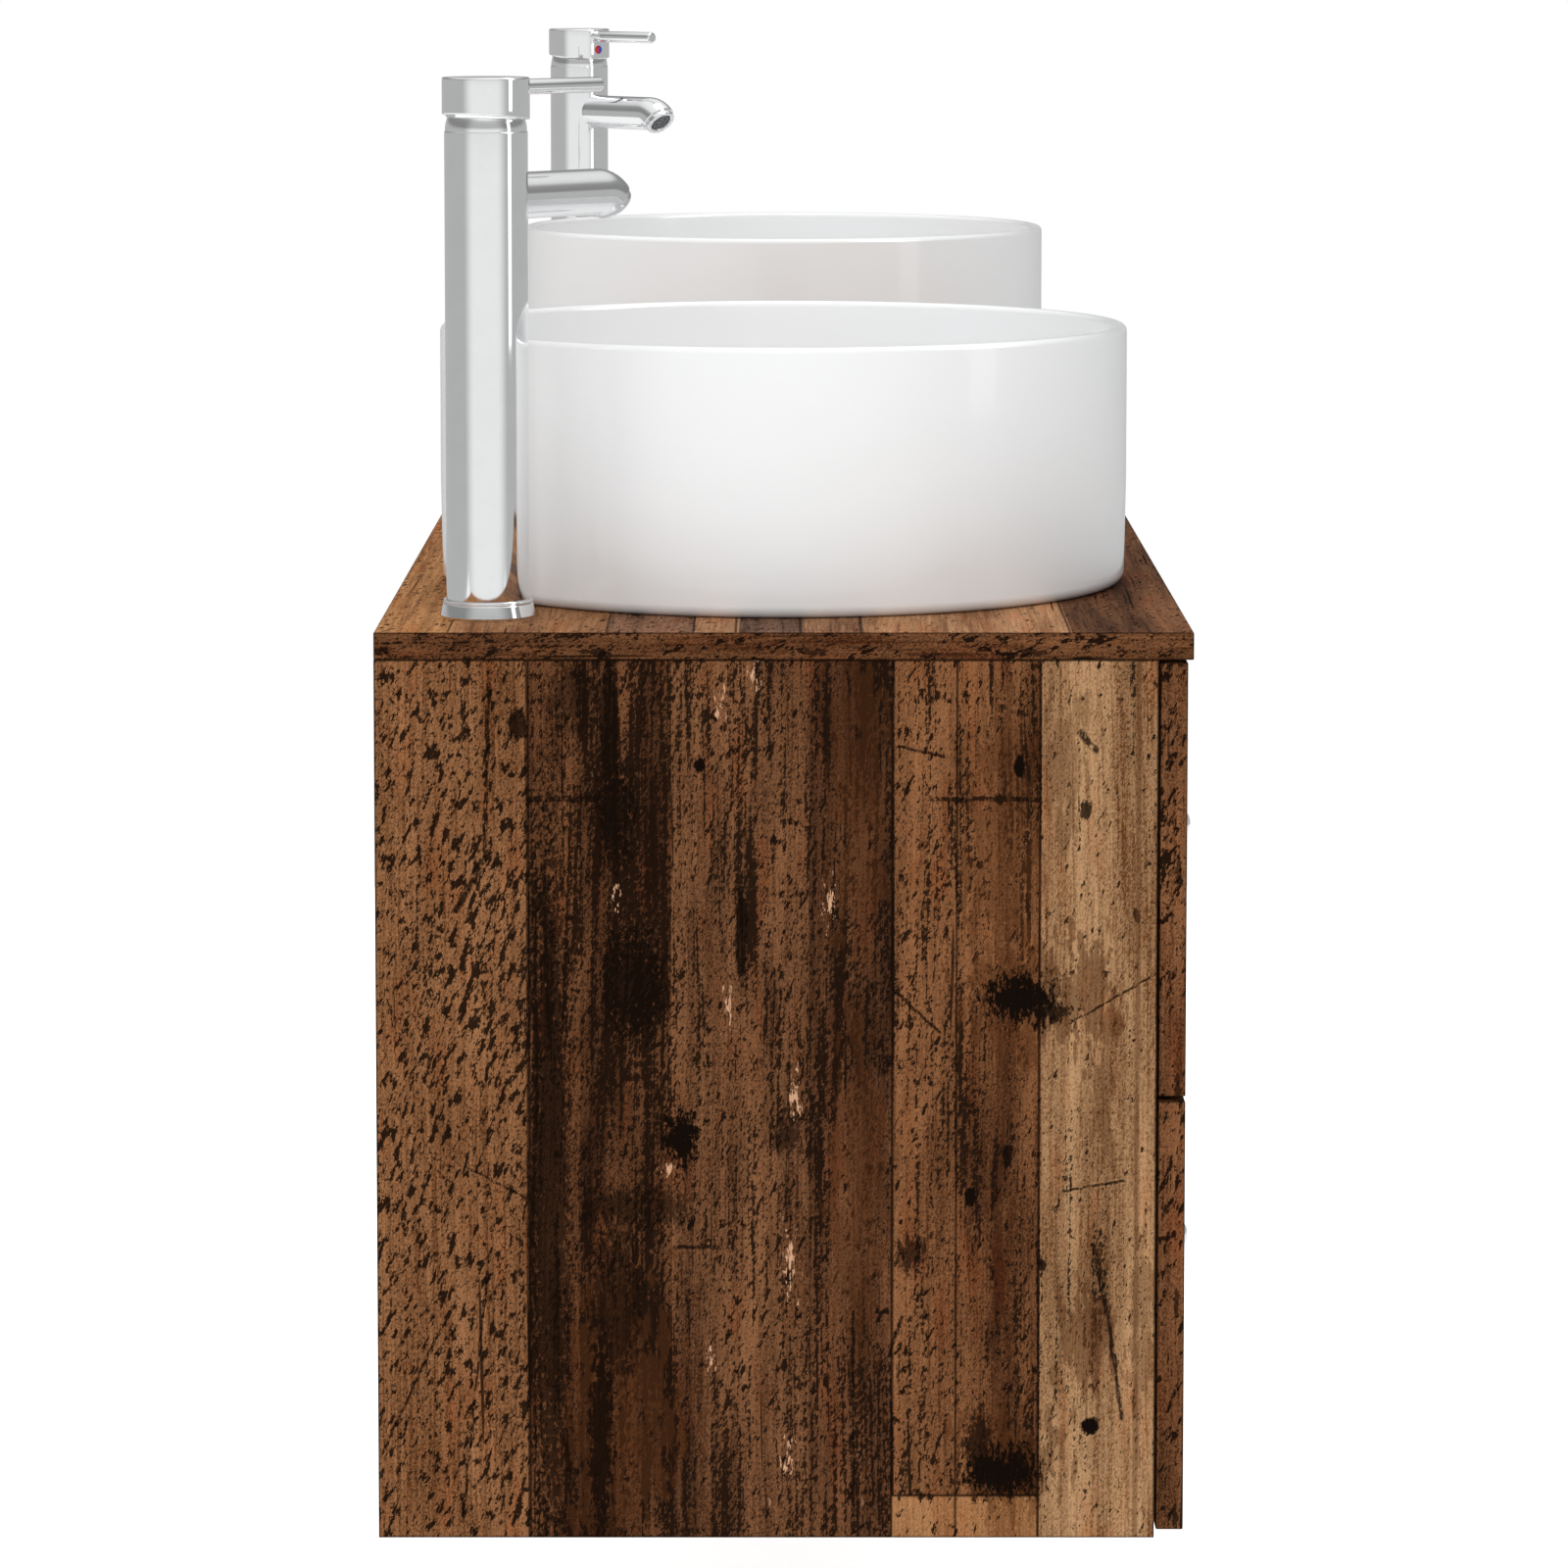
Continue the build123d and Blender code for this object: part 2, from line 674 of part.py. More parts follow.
pivot_height = column_height
inlet_seat = shank_grip
cartridge_top = cartridge_seat + cartridge_height

for name, side in sides.items():
    with BuildPart() as column:
        turned(mixer_foot(side), [(shank_radius + shank_fit, 0), (column_radius, 0),
                                  (column_radius, column_height), (cartridge_radius + cartridge_fit, column_height),
                                  (cartridge_radius + cartridge_fit, cartridge_seat), (column_bore, cartridge_seat),
                                  (column_bore, inlet_seat + inlet_block), (0, inlet_seat + inlet_block),
                                  (0, inlet_seat), (shank_radius + shank_fit, inlet_seat)])
        with BuildSketch(mixer_plane(side, inlet_seat)):
            with GridLocations(1, inlets_apart, 1, 2):
                Circle(inlet_radius)
        extrude(amount=inlet_depth, mode=Mode.SUBTRACT)
        with BuildSketch(cross_plane(side, column_bore / 2, spout_height)):
            Circle(spout_radius + spout_fit)
        extrude(amount=column_radius, mode=Mode.SUBTRACT)
    save(column.part, "mixer_column_" + name)

    with BuildPart() as turret:
        base = cartridge_top + turret_play
        top = pivot_height + turret_top_above_pivot
        with BuildSketch(mixer_plane(side, base)):
            Circle(turret_radius)
        extrude(amount=top - base)
        slot_foot = base + turret_base
        with BuildSketch(mixer_plane(side, slot_foot)):
            Rectangle(2 * turret_radius, stem_width + 2 * stem_side_play)
        extrude(amount=top - slot_foot, mode=Mode.SUBTRACT)
        with BuildSketch(Plane(origin=mixer_plane(side, pivot_height).origin,
                               z_dir=mixer_plane(side, 0).y_dir)):
            Circle(trunnion_radius + trunnion_play)
        extrude(amount=turret_radius, both=True, mode=Mode.SUBTRACT)
    save(turret.part, "cartridge_turret_" + name)

    with BuildPart() as stem:
        across = mixer_plane(side, 0).y_dir
        roof = pivot_height + dome_radius + cap_play
        with BuildSketch(mixer_plane(side, pivot_height)):
            Rectangle(stem_depth, stem_width)
        extrude(amount=roof - pivot_height - stem_fit)
        with BuildSketch(Plane(origin=mixer_plane(side, pivot_height).origin, z_dir=across)):
            Circle(stem_heel)
        extrude(amount=stem_width / 2, both=True)
        with BuildSketch(Plane(origin=mixer_plane(side, pivot_height).origin, z_dir=across)):
            Circle(trunnion_radius)
        extrude(amount=turret_radius - 1.2, both=True)
    save(stem.part, "cartridge_stem_" + name)

    with BuildPart() as cap:
        roof = pivot_height + dome_radius + cap_play
        with BuildSketch(upright_section(side)):
            with BuildLine():
                Polyline((-cap_radius, cap_edge_back), (cap_radius, cap_edge_front),
                         (cap_radius, cap_top), (-cap_radius, cap_top), close=True)
            make_face()
        extrude(amount=cap_radius, both=True)
        with BuildSketch(mixer_plane(side, cap_edge_front - 1)):
            Circle(cap_radius)
        extrude(amount=cap_top - cap_edge_front + 2, mode=Mode.INTERSECT)
        fillet(cap.edges().filter_by(GeomType.CIRCLE).group_by(Axis.Z)[-1], radius=cap_edge_round)
        fillet(cap.edges().filter_by(GeomType.ELLIPSE), radius=cap_edge_round)
        with Locations(mixer_plane(side, pivot_height)):
            Sphere(dome_radius + cap_play, mode=Mode.SUBTRACT)
        with BuildSketch(mixer_plane(side, roof - cap_boss_drop)):
            Circle(cap_boss_radius)
        extrude(amount=cap_boss_drop + 1)
        with BuildSketch(mixer_plane(side, roof - cap_boss_drop)):
            Rectangle(stem_depth + 2 * stem_fit, stem_width + 2 * stem_fit)
        extrude(amount=cap_boss_drop, mode=Mode.SUBTRACT)
        with BuildSketch(cross_plane(side, rod_root, rod_height)):
            Circle(rod_radius + rod_fit)
        extrude(amount=cap_radius, mode=Mode.SUBTRACT)
        with BuildSketch(cross_plane(side, cap_radius - dot_depth, dot_height)):
            Circle(dot_radius + dot_fit)
        extrude(amount=cap_radius, mode=Mode.SUBTRACT)
    save(cap.part, "lever_cap_" + name)

    with BuildPart() as rod:
        with BuildSketch(cross_plane(side, rod_root + rod_fit, rod_height)):
            Circle(rod_radius)
        extrude(amount=rod_tip - rod_root - rod_fit)
        fillet(rod.faces().sort_by(lambda f: (f.center() - Vector(mixer_foot(side))).length)[-1].edges(),
               radius=rod_tip_round)
    save(rod.part, "lever_rod_" + name)

    with BuildPart() as dot:
        with BuildSketch(cross_plane(side, cap_radius - dot_depth + dot_fit, dot_height)):
            Circle(dot_radius)
        extrude(amount=dot_depth - dot_fit + dot_stand)
    save(dot.part, "heat_mark_" + name)

with BuildPart() as base_rings:
    for side in sides.values():
        hole = column_radius + base_ring_fit
        turned(mixer_foot(side), [(hole, 0), (base_ring_foot_radius, 0), (base_ring_foot_radius, base_ring_land),
                                  (base_ring_top_radius, base_ring_height - 1),
                                  (base_ring_top_radius - 0.8, base_ring_height), (hole, base_ring_height)])
save(base_rings.part, "mixer_base_rings")

with BuildPart() as spouts:
    for side in sides.values():
        with BuildSketch(cross_plane(side, spout_root, spout_height)):
            Circle(spout_radius)
            Circle(spout_bore, mode=Mode.SUBTRACT)
        sweep(path=spout_path(side, spout_root))
save(spouts.part, "mixer_spouts")

with BuildPart() as aerators:
    for side in sides.values():
        with BuildSketch(outlet_plane(side)):
            Circle(aerator_radius)
        extrude(amount=aerator_length)
        with BuildSketch(outlet_plane(side)):
            Circle(spout_bore - aerator_fit)
        extrude(amount=-aerator_spigot)
        with BuildSketch(outlet_plane(side).offset(aerator_length)):
            Circle(aerator_bore)
        extrude(amount=-(aerator_length + aerator_spigot), mode=Mode.SUBTRACT)
save(aerators.part, "aerators")

with BuildPart() as screens:
    for side in sides.values():
        with BuildSketch(outlet_plane(side).offset(aerator_length - screen_recess)):
            Circle(aerator_bore - spout_fit)
        extrude(amount=-screen_thickness)
save(screens.part, "aerator_screens")

with BuildPart() as cartridges:
    for side in sides.values():
        with BuildSketch(mixer_plane(side, cartridge_seat)):
            Circle(cartridge_radius)
        extrude(amount=cartridge_height)
save(cartridges.part, "mixer_cartridges")

with BuildPart() as retainers:
    for side in sides.values():
        with BuildSketch(mixer_plane(side, cartridge_top)):
            Circle(cartridge_radius)
            Circle(retainer_hole, mode=Mode.SUBTRACT)
        extrude(amount=column_height - cartridge_top)
save(retainers.part, "cartridge_retainers")

with BuildPart() as domes:
    for side in sides.values():
        opening = math.radians(dome_opening_angle)
        middle = (math.radians(90) + opening) / 2
        outer_r = dome_radius
        inner_r = dome_radius - dome_shell
        with BuildSketch(Plane(origin=mixer_foot(side), x_dir=(1, 0, 0), z_dir=(0, -1, 0))):
            with BuildLine():
                Line((inner_r, pivot_height), (outer_r, pivot_height))
                ThreePointArc((outer_r, pivot_height),
                              (outer_r * math.sin(middle), pivot_height + outer_r * math.cos(middle)),
                              (outer_r * math.sin(opening), pivot_height + outer_r * math.cos(opening)))
                Line((outer_r * math.sin(opening), pivot_height + outer_r * math.cos(opening)),
                     (inner_r * math.sin(opening), pivot_height + inner_r * math.cos(opening)))
                ThreePointArc((inner_r * math.sin(opening), pivot_height + inner_r * math.cos(opening)),
                              (inner_r * math.sin(middle), pivot_height + inner_r * math.cos(middle)),
                              (inner_r, pivot_height))
            make_face()
        revolve(axis=Axis(mixer_foot(side), (0, 0, 1)))
save(domes.part, "mixer_domes")

with BuildPart() as shanks:
    for side in sides.values():
        turned(mixer_foot(side), [(shank_bore, -shank_length), (shank_radius, -shank_length),
                                  (shank_radius, shank_grip), (shank_bore, shank_grip)])
save(shanks.part, "mixer_shanks")

# ---------------------------------------------------------------- what clamps both to the slab
clamped = [(side * basin_x, basin_y, waste_radius) for side in sides.values()]
clamped += [(side * mixer_x, mixer_y, shank_radius) for side in sides.values()]

with BuildPart() as gaskets:
    for x, y, thread in clamped:
        with BuildSketch(Plane.XY.offset(slab_underside - gasket_thickness)):
            with Locations((x, y)):
                Circle(thread + gasket_fit + gasket_width)
                Circle(thread + gasket_fit, mode=Mode.SUBTRACT)
        extrude(amount=gasket_thickness)
save(gaskets.part, "deck_gaskets")

with BuildPart() as nuts:
    for x, y, thread in clamped:
        hex_nut((x, y), slab_underside - gasket_thickness, thread)
save(nuts.part, "deck_nuts")
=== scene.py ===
import json
import math

import bpy
import numpy as np
from bpy.props import FloatProperty, FloatVectorProperty, IntProperty, PointerProperty
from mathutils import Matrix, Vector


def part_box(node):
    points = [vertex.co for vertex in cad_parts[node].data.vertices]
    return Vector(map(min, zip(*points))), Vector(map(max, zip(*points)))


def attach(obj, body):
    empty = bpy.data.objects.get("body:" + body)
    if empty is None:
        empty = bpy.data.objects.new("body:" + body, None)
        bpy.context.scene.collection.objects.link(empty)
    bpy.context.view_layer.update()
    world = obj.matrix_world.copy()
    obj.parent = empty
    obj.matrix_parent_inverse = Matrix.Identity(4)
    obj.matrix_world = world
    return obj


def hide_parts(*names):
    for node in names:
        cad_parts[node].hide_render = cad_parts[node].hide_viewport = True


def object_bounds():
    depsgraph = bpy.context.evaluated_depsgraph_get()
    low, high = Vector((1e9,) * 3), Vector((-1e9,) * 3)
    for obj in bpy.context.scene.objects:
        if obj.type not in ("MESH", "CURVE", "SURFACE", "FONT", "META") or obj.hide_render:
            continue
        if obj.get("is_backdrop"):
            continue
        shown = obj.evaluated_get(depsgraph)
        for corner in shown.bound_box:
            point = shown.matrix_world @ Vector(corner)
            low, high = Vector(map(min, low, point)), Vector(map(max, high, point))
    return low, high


bl_info = {
    "name": "Wall-hung double basin vanity",
    "version": (1, 0, 0),
    "blender": (4, 5, 0),
    "location": "View3D > Sidebar > Vanity",
    "description": "Finishes and detailed pieces for a double vanity with vessel basins and tall mixers",
    "category": "Object",
}

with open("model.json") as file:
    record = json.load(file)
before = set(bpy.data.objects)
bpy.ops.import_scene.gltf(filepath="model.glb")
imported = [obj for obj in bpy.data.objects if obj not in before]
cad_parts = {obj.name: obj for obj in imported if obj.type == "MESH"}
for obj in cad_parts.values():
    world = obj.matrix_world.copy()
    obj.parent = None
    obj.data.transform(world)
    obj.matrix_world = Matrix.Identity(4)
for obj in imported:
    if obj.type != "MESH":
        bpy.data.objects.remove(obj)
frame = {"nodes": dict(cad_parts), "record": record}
CAD_LOW, CAD_HIGH = (np.array(corner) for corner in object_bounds())

SIDES = ("left", "right")
UP = np.array((0.0, 0.0, 1.0))


def box_of(node):
    """Lowest and highest corner of a frame node, as arrays."""
    low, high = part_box(node)
    return np.array(low), np.array(high)


def middle_of(node):
    low, high = box_of(node)
    return (low + high) / 2


def nodes_named(start):
    """The frame nodes whose names start with a word, in order."""
    return sorted(name for name in frame["nodes"] if name.startswith(start))


def body_of(node):
    """The body of the record that a frame node belongs to."""
    bodies = frame["record"]["behaviour"]["bodies"]
    return next(name for name, members in bodies.items() if node in members)


SLAB_LOW, SLAB_HIGH = box_of("top_panel")
DECK = SLAB_HIGH[2]
PITCH = (SLAB_HIGH[0] - SLAB_LOW[0]) / 4


def tone(red, green, blue):
    """A display colour of 0 to 255 parts as the linear colour that shaders take."""
    parts = np.array((red, green, blue)) / 255
    line = np.where(parts <= 0.04045, parts / 12.92, ((parts + 0.055) / 1.055) ** 2.4)
    return tuple(float(part) for part in line)


# ------------------------------------------------------------------ settings a user may change
class VanityWood(bpy.types.PropertyGroup):
    """Tones and finish of the reclaimed-plank boards."""

    char: FloatVectorProperty(
        name="Char", description="Colour of the burnt and tarred parts of the old planks",
        subtype="COLOR", size=3, min=0.0, max=1.0, default=tone(17, 9, 5))
    pale: FloatVectorProperty(
        name="Chips", description="Colour of the small chips that show pale wood",
        subtype="COLOR", size=3, min=0.0, max=1.0, default=tone(196, 152, 120))
    plank_width: FloatProperty(
        name="Plank width", description="Usual width of a plank in the board's figure",
        unit="LENGTH", min=0.02, max=0.4, default=0.115)
    relief: FloatProperty(
        name="Relief", description="Depth of the grain pressed into the board's face",
        unit="LENGTH", min=0.0, max=0.002, default=0.00022)
    gloss: FloatProperty(
        name="Gloss", description="How far the boards' finish is from dead matt",
        subtype="FACTOR", min=0.0, max=1.0, default=0.42)


class VanityChrome(bpy.types.PropertyGroup):
    """Tint and polish of the plated fittings."""

    tint: FloatVectorProperty(
        name="Chrome", description="Colour of the chrome plating",
        subtype="COLOR", size=3, min=0.0, max=1.0, default=(0.84, 0.845, 0.85))
    polish: FloatProperty(
        name="Roughness", description="Roughness of the chrome plating before wear",
        subtype="FACTOR", min=0.02, max=0.6, default=0.065)
    facets: IntProperty(
        name="Facets", description="Steps round a turned fitting", min=24, max=256, default=96)


class VanityCeramic(bpy.types.PropertyGroup):
    """Glaze and wall of the basins."""

    glaze: FloatVectorProperty(
        name="Glaze", description="Colour of the basins' glaze",
        subtype="COLOR", size=3, min=0.0, max=1.0, default=(0.80, 0.805, 0.81))
    wall: FloatProperty(
        name="Wall", description="Thickness of a basin's wall",
        unit="LENGTH", min=0.004, max=0.02, default=0.008)
    facets: IntProperty(
        name="Facets", description="Steps round a basin", min=48, max=512, default=224)


class VanityStudio(bpy.types.PropertyGroup):
    """Floor, lights and camera."""

    floor_drop: FloatProperty(
        name="Floor", description="Height of the cabinet's underside over the floor",
        unit="LENGTH", min=0.0, max=1.5, default=0.32)
    sky: FloatProperty(
        name="Room light", description="Strength of the even light from all round",
        min=0.0, max=5.0, default=0.50)
    key: FloatProperty(
        name="Key light", description="Power of the large soft light beside the camera",
        unit="POWER", min=0.0, max=2000.0, default=16.0)
    lens: FloatProperty(
        name="Lens", description="Focal length of the camera",
        unit="CAMERA", min=20.0, max=300.0, default=130.63)
    shift: FloatProperty(
        name="Shift", description="Vertical shift of the lens",
        min=-1.0, max=1.0, default=-0.22)
    tilt: FloatProperty(
        name="Tilt", description="Degrees by which the camera looks down",
        min=-90.0, max=90.0, default=5.166)


# ------------------------------------------------------------------ surfaces
def skin(name, rings, ends=None):
    """A closed skin over a grid of points.

    rings[i, j] is step i along the shape and step j round it, and steps j close on themselves. With two
    end points, each end is closed by a fan to its point; without them steps i close on themselves too.
    The whole skin is turned over if its signed volume, a sixth of the sum of a . (b x c) over its
    triangles, is below nothing, so its faces always point outwards.
    """
    rows, columns = rings.shape[:2]
    points = rings.reshape(-1, 3)
    i = np.arange(rows if ends is None else rows - 1)[:, None]
    j = np.arange(columns)[None, :]
    j_next = (j + 1) % columns
    i_next = (i + 1) % rows
    quads = np.stack([i * columns + j, i * columns + j_next, i_next * columns + j_next,
                      i_next * columns + j], -1)
    quads = quads.reshape(-1, 4)
    fans = np.zeros((0, 3), int)
    if ends is not None:
        first = len(points)
        points = np.vstack([points, ends])
        row = np.arange(columns)
        row_next = (row + 1) % columns
        last = (rows - 1) * columns
        fans = np.vstack([np.stack([row_next, row, np.full(columns, first)], -1),
                          np.stack([last + row, last + row_next, np.full(columns, first + 1)], -1)])
    halves = np.vstack([quads[:, [0, 1, 2]], quads[:, [0, 2, 3]], fans])
    a, b, c = points[halves[:, 0]], points[halves[:, 1]], points[halves[:, 2]]
    if np.einsum("ij,ij->", a, np.cross(b, c)) < 0:
        quads = quads[:, ::-1]
        fans = fans[:, ::-1]
    mesh = bpy.data.meshes.new(name)
    mesh.vertices.add(len(points))
    mesh.vertices.foreach_set("co", points.astype(np.float32).ravel())
    mesh.loops.add(quads.size + fans.size)
    mesh.loops.foreach_set("vertex_index", np.concatenate([quads.ravel(), fans.ravel()]).astype(np.int32))
    mesh.polygons.add(len(quads) + len(fans))
    starts = np.concatenate([np.arange(len(quads)) * 4, quads.size + np.arange(len(fans)) * 3])
    mesh.polygons.foreach_set("loop_start", starts.astype(np.int32))
    mesh.update(calc_edges=True)
    mesh.validate()
    mesh.polygons.foreach_set("use_smooth", np.ones(len(mesh.polygons), bool))
    mesh.set_sharp_from_angle(angle=math.radians(38))
    piece = bpy.data.objects.new(name, mesh)
    bpy.context.scene.collection.objects.link(piece)
    return piece


def eased(corners, steps=6, closed=True):
    """Corners of (x, y, rounding) as a smooth outline of points.

    Each corner gives way to an arc that touches both its sides: it starts and ends rounding / tan(half the
    corner's angle) from the corner, and its middle lies on the line that halves the angle.
    """
    corners = np.array(corners, float)
    outline = []
    count = len(corners)
    for k in range(count):
        here = corners[k, :2]
        before = corners[k - 1, :2] - here
        after = corners[(k + 1) % count, :2] - here
        radius = corners[k, 2]
        if radius <= 0 or (not closed and k in (0, count - 1)):
            outline.append(here[None])
            continue
        before = before / np.linalg.norm(before)
        after = after / np.linalg.norm(after)
        half = math.acos(np.clip(before @ after, -1, 1)) / 2
        split = before + after
        centre = here + split / np.linalg.norm(split) * radius / math.sin(half)
        reach = radius / math.tan(half)
        first = here + before * reach - centre
        last = here + after * reach - centre
        turn = math.atan2(first[0] * last[1] - first[1] * last[0], first @ last)
        angle = np.linspace(0, turn, steps + 1)[:, None]
        across = np.array((-first[1], first[0]))
        outline.append(centre + first * np.cos(angle) + across * np.sin(angle))
    return np.vstack(outline)


def turned(name, profile, foot, up=UP, lean=(1, 0, 0), steps=96, solid=True, slant=None):
    """A profile of (radius, height) carried round an axis.

    At angle t round the axis a point lies at foot + r (cos t lean + sin t (up x lean)) + h up. With a
    slant, h grows by slant r cos t, so a level ring becomes a tilted one. A solid profile runs from axis to
    axis and its first and last points become the poles; any other profile is a closed outline.
    """
    up = np.array(up, float) / np.linalg.norm(up)
    lean = np.array(lean, float)
    lean = lean - up * (lean @ up)
    lean = lean / np.linalg.norm(lean)
    across = np.cross(up, lean)
    foot = np.array(foot, float)
    radius, height = profile[:, 0], profile[:, 1]
    angle = np.arange(steps) * 2 * math.pi / steps
    spokes = np.cos(angle)[:, None] * lean + np.sin(angle)[:, None] * across
    lift = np.zeros(len(profile)) if slant is None else slant
    heights = height[:, None] + lift[:, None] * radius[:, None] * np.cos(angle)
    rings = foot + radius[:, None, None] * spokes + heights[..., None] * up
    if solid:
        return skin(name, rings[1:-1], foot + height[[0, -1], None] * up)
    return skin(name, rings)


def joined(name, pieces):
    """Several new pieces of one body and one finish as one piece."""
    meshes = [piece.data for piece in pieces]
    counts = [len(mesh.vertices) for mesh in meshes]
    with bpy.context.temp_override(active_object=pieces[0], selected_editable_objects=pieces):
        bpy.ops.object.join()
    pieces[0].name = name
    pieces[0].data.name = name
    if len(pieces[0].data.vertices) != sum(counts):
        raise RuntimeError("the parts of " + name + " weren't joined")
    return pieces[0]


def fit(piece, body, material, slot, *nodes):
    """Give a new piece its finish, its body and the frame nodes that it stands for."""
    piece.data.materials.clear()
    piece.data.materials.append(material)
    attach(piece, body)
    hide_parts(*nodes)
    return piece


def dress(material, *names):
    """Give frame nodes a finish, and leave their shape alone."""
    for name in names:
        node = frame["nodes"][name]
        if not node.material_slots:
            node.data.materials.append(material)
        for slot in node.material_slots:
            slot.material = material


# ------------------------------------------------------------------ shader nodes
class Flow:
    """A node's output that plain signs work on: each sign adds the node that reckons it."""

    def __init__(self, bench, socket):
        self.bench = bench
        self.socket = socket

    def reckon(self, operation, *values):
        by_parts = self.socket.type in ("VECTOR", "RGBA")
        return (self.bench.vector if by_parts else self.bench.math)(operation, *values)

    def __add__(self, other):
        return self.reckon("ADD", self, other)

    def __radd__(self, other):
        return self.reckon("ADD", other, self)

    def __sub__(self, other):
        return self.reckon("SUBTRACT", self, other)

    def __rsub__(self, other):
        return self.reckon("SUBTRACT", other, self)

    def __mul__(self, other):
        return self.reckon("MULTIPLY", self, other)

    def __truediv__(self, other):
        return self.reckon("DIVIDE", self, other)

    def __neg__(self):
        return self.reckon("MULTIPLY", self, -1.0)

    def __abs__(self):
        return self.reckon("ABSOLUTE", self)


class Bench:
    """Short ways to add shader nodes to one tree."""

    def __init__(self, tree):
        self.tree = tree

    def feed(self, socket, value):
        if isinstance(value, Flow):
            self.tree.links.new(value.socket, socket)
        elif isinstance(value, (tuple, list)) and len(value) == 3 and socket.type == "RGBA":
            socket.default_value = (*value, 1.0)
        else:
            socket.default_value = value

    def put(self, kind, feeds=None, out=0, **settings):
        node = self.tree.nodes.new("ShaderNode" + kind)
        for key, value in settings.items():
            setattr(node, key, value)
        for key, value in (feeds or {}).items():
            self.feed(node.inputs[key], value)
        return Flow(self, node.outputs[out])

    def math(self, operation, a, b=0.0, c=0.0, clamp=False):
        return self.put("Math", {0: a, 1: b, 2: c}, operation=operation, use_clamp=clamp)

    def most(self, a, b):
        return self.math("MAXIMUM", a, b)

    def least(self, a, b):
        return self.math("MINIMUM", a, b)

    def vector(self, operation, a, b=(0.0, 0.0, 0.0), out=0):
        return self.put("VectorMath", {0: a, 1: b}, out, operation=operation)

    def stretch(self, place, x, y, z=1.0):
        return self.vector("MULTIPLY", place, (x, y, z))

    def noise(self, place, scale=1.0, detail=3.0, roughness=0.55, distortion=0.0):
        return self.put("TexNoise", {"Vector": place, "Scale": scale, "Detail": detail,
                                     "Roughness": roughness, "Distortion": distortion})

    def fade(self, value, start, end, low=0.0, high=1.0):
        return self.put("MapRange", {0: value, 1: start, 2: end, 3: low, 4: high},
                        interpolation_type="SMOOTHSTEP")

    def lerp(self, value, start, end, low=0.0, high=1.0):
        return self.put("MapRange", {0: value, 1: start, 2: end, 3: low, 4: high})

    def mix(self, factor, a, b, kind="MIX"):
        return self.put("Mix", {0: factor, 6: a, 7: b}, 2, data_type="RGBA", blend_type=kind)

    def pick(self, factor, a, b):
        return self.put("Mix", {0: factor, 4: a, 5: b}, 1, data_type="VECTOR")

    def split(self, place):
        node = self.tree.nodes.new("ShaderNodeSeparateXYZ")
        self.feed(node.inputs[0], place)
        return [Flow(self, socket) for socket in node.outputs]

    def join(self, x=0.0, y=0.0, z=0.0):
        return self.put("CombineXYZ", {0: x, 1: y, 2: z})

    def steps(self, factor, values):
        """A ramp of flat steps: values are (start, colour) pairs in rising order."""
        node = self.tree.nodes.new("ShaderNodeValToRGB")
        self.feed(node.inputs[0], factor)
        node.color_ramp.interpolation = "CONSTANT"
        stops = node.color_ramp.elements
        stops.remove(stops[1])
        stops[0].position = values[0][0]
        stops[0].color = (*values[0][1], 1.0)
        for start, colour in values[1:]:
            stops.new(start).color = (*colour, 1.0)
        return Flow(self, node.outputs[0])

    def group(self, tree, feeds):
        """One shared effect, with its named inputs fed. Gives back its outputs by name."""
        node = self.tree.nodes.new("ShaderNodeGroup")
        node.node_tree = tree
        for key, value in feeds.items():
            self.feed(node.inputs[key], value)
        return {socket.name: Flow(self, socket) for socket in node.outputs}


SOCKETS = {"vector": "NodeSocketVector", "colour": "NodeSocketColor", "value": "NodeSocketFloat"}


def shared(name, inputs, outputs, fill):
    """A node group, built once.

    inputs and outputs are {name: kind}, and fill(bench, inputs by name) gives the outputs by name.
    """
    if name in bpy.data.node_groups:
        return bpy.data.node_groups[name]
    tree = bpy.data.node_groups.new(name, "ShaderNodeTree")
    for title, kind in inputs.items():
        tree.interface.new_socket(title, in_out="INPUT", socket_type=SOCKETS[kind])
    for title, kind in outputs.items():
        tree.interface.new_socket(title, in_out="OUTPUT", socket_type=SOCKETS[kind])
    start = tree.nodes.new("NodeGroupInput")
    end = tree.nodes.new("NodeGroupOutput")
    bench = Bench(tree)
    made = fill(bench, {title: Flow(bench, start.outputs[title]) for title in inputs})
    for title, value in made.items():
        bench.feed(end.inputs[title], value)
    return tree


def finish_of(name, fill):
    """A material, built once. fill(bench, shader) sets the sockets of its Principled shader."""
    if name in bpy.data.materials:
        return bpy.data.materials[name]
    material = bpy.data.materials.new(name)
    material.use_nodes = True
    shader = next(node for node in material.node_tree.nodes if node.type == "BSDF_PRINCIPLED")
    fill(Bench(material.node_tree), shader)
    return material


def object_place(bench):
    return bench.put("TexCoord", out=3)


def object_facing(bench):
    return bench.put("TexCoord", out=1)


def raise_grain(bench, shader, height, distance):
    """Feed a height map to the shader's normal through a Bump node."""
    bench.feed(shader.inputs["Normal"], bench.put("Bump", {"Height": height, "Distance": distance}))


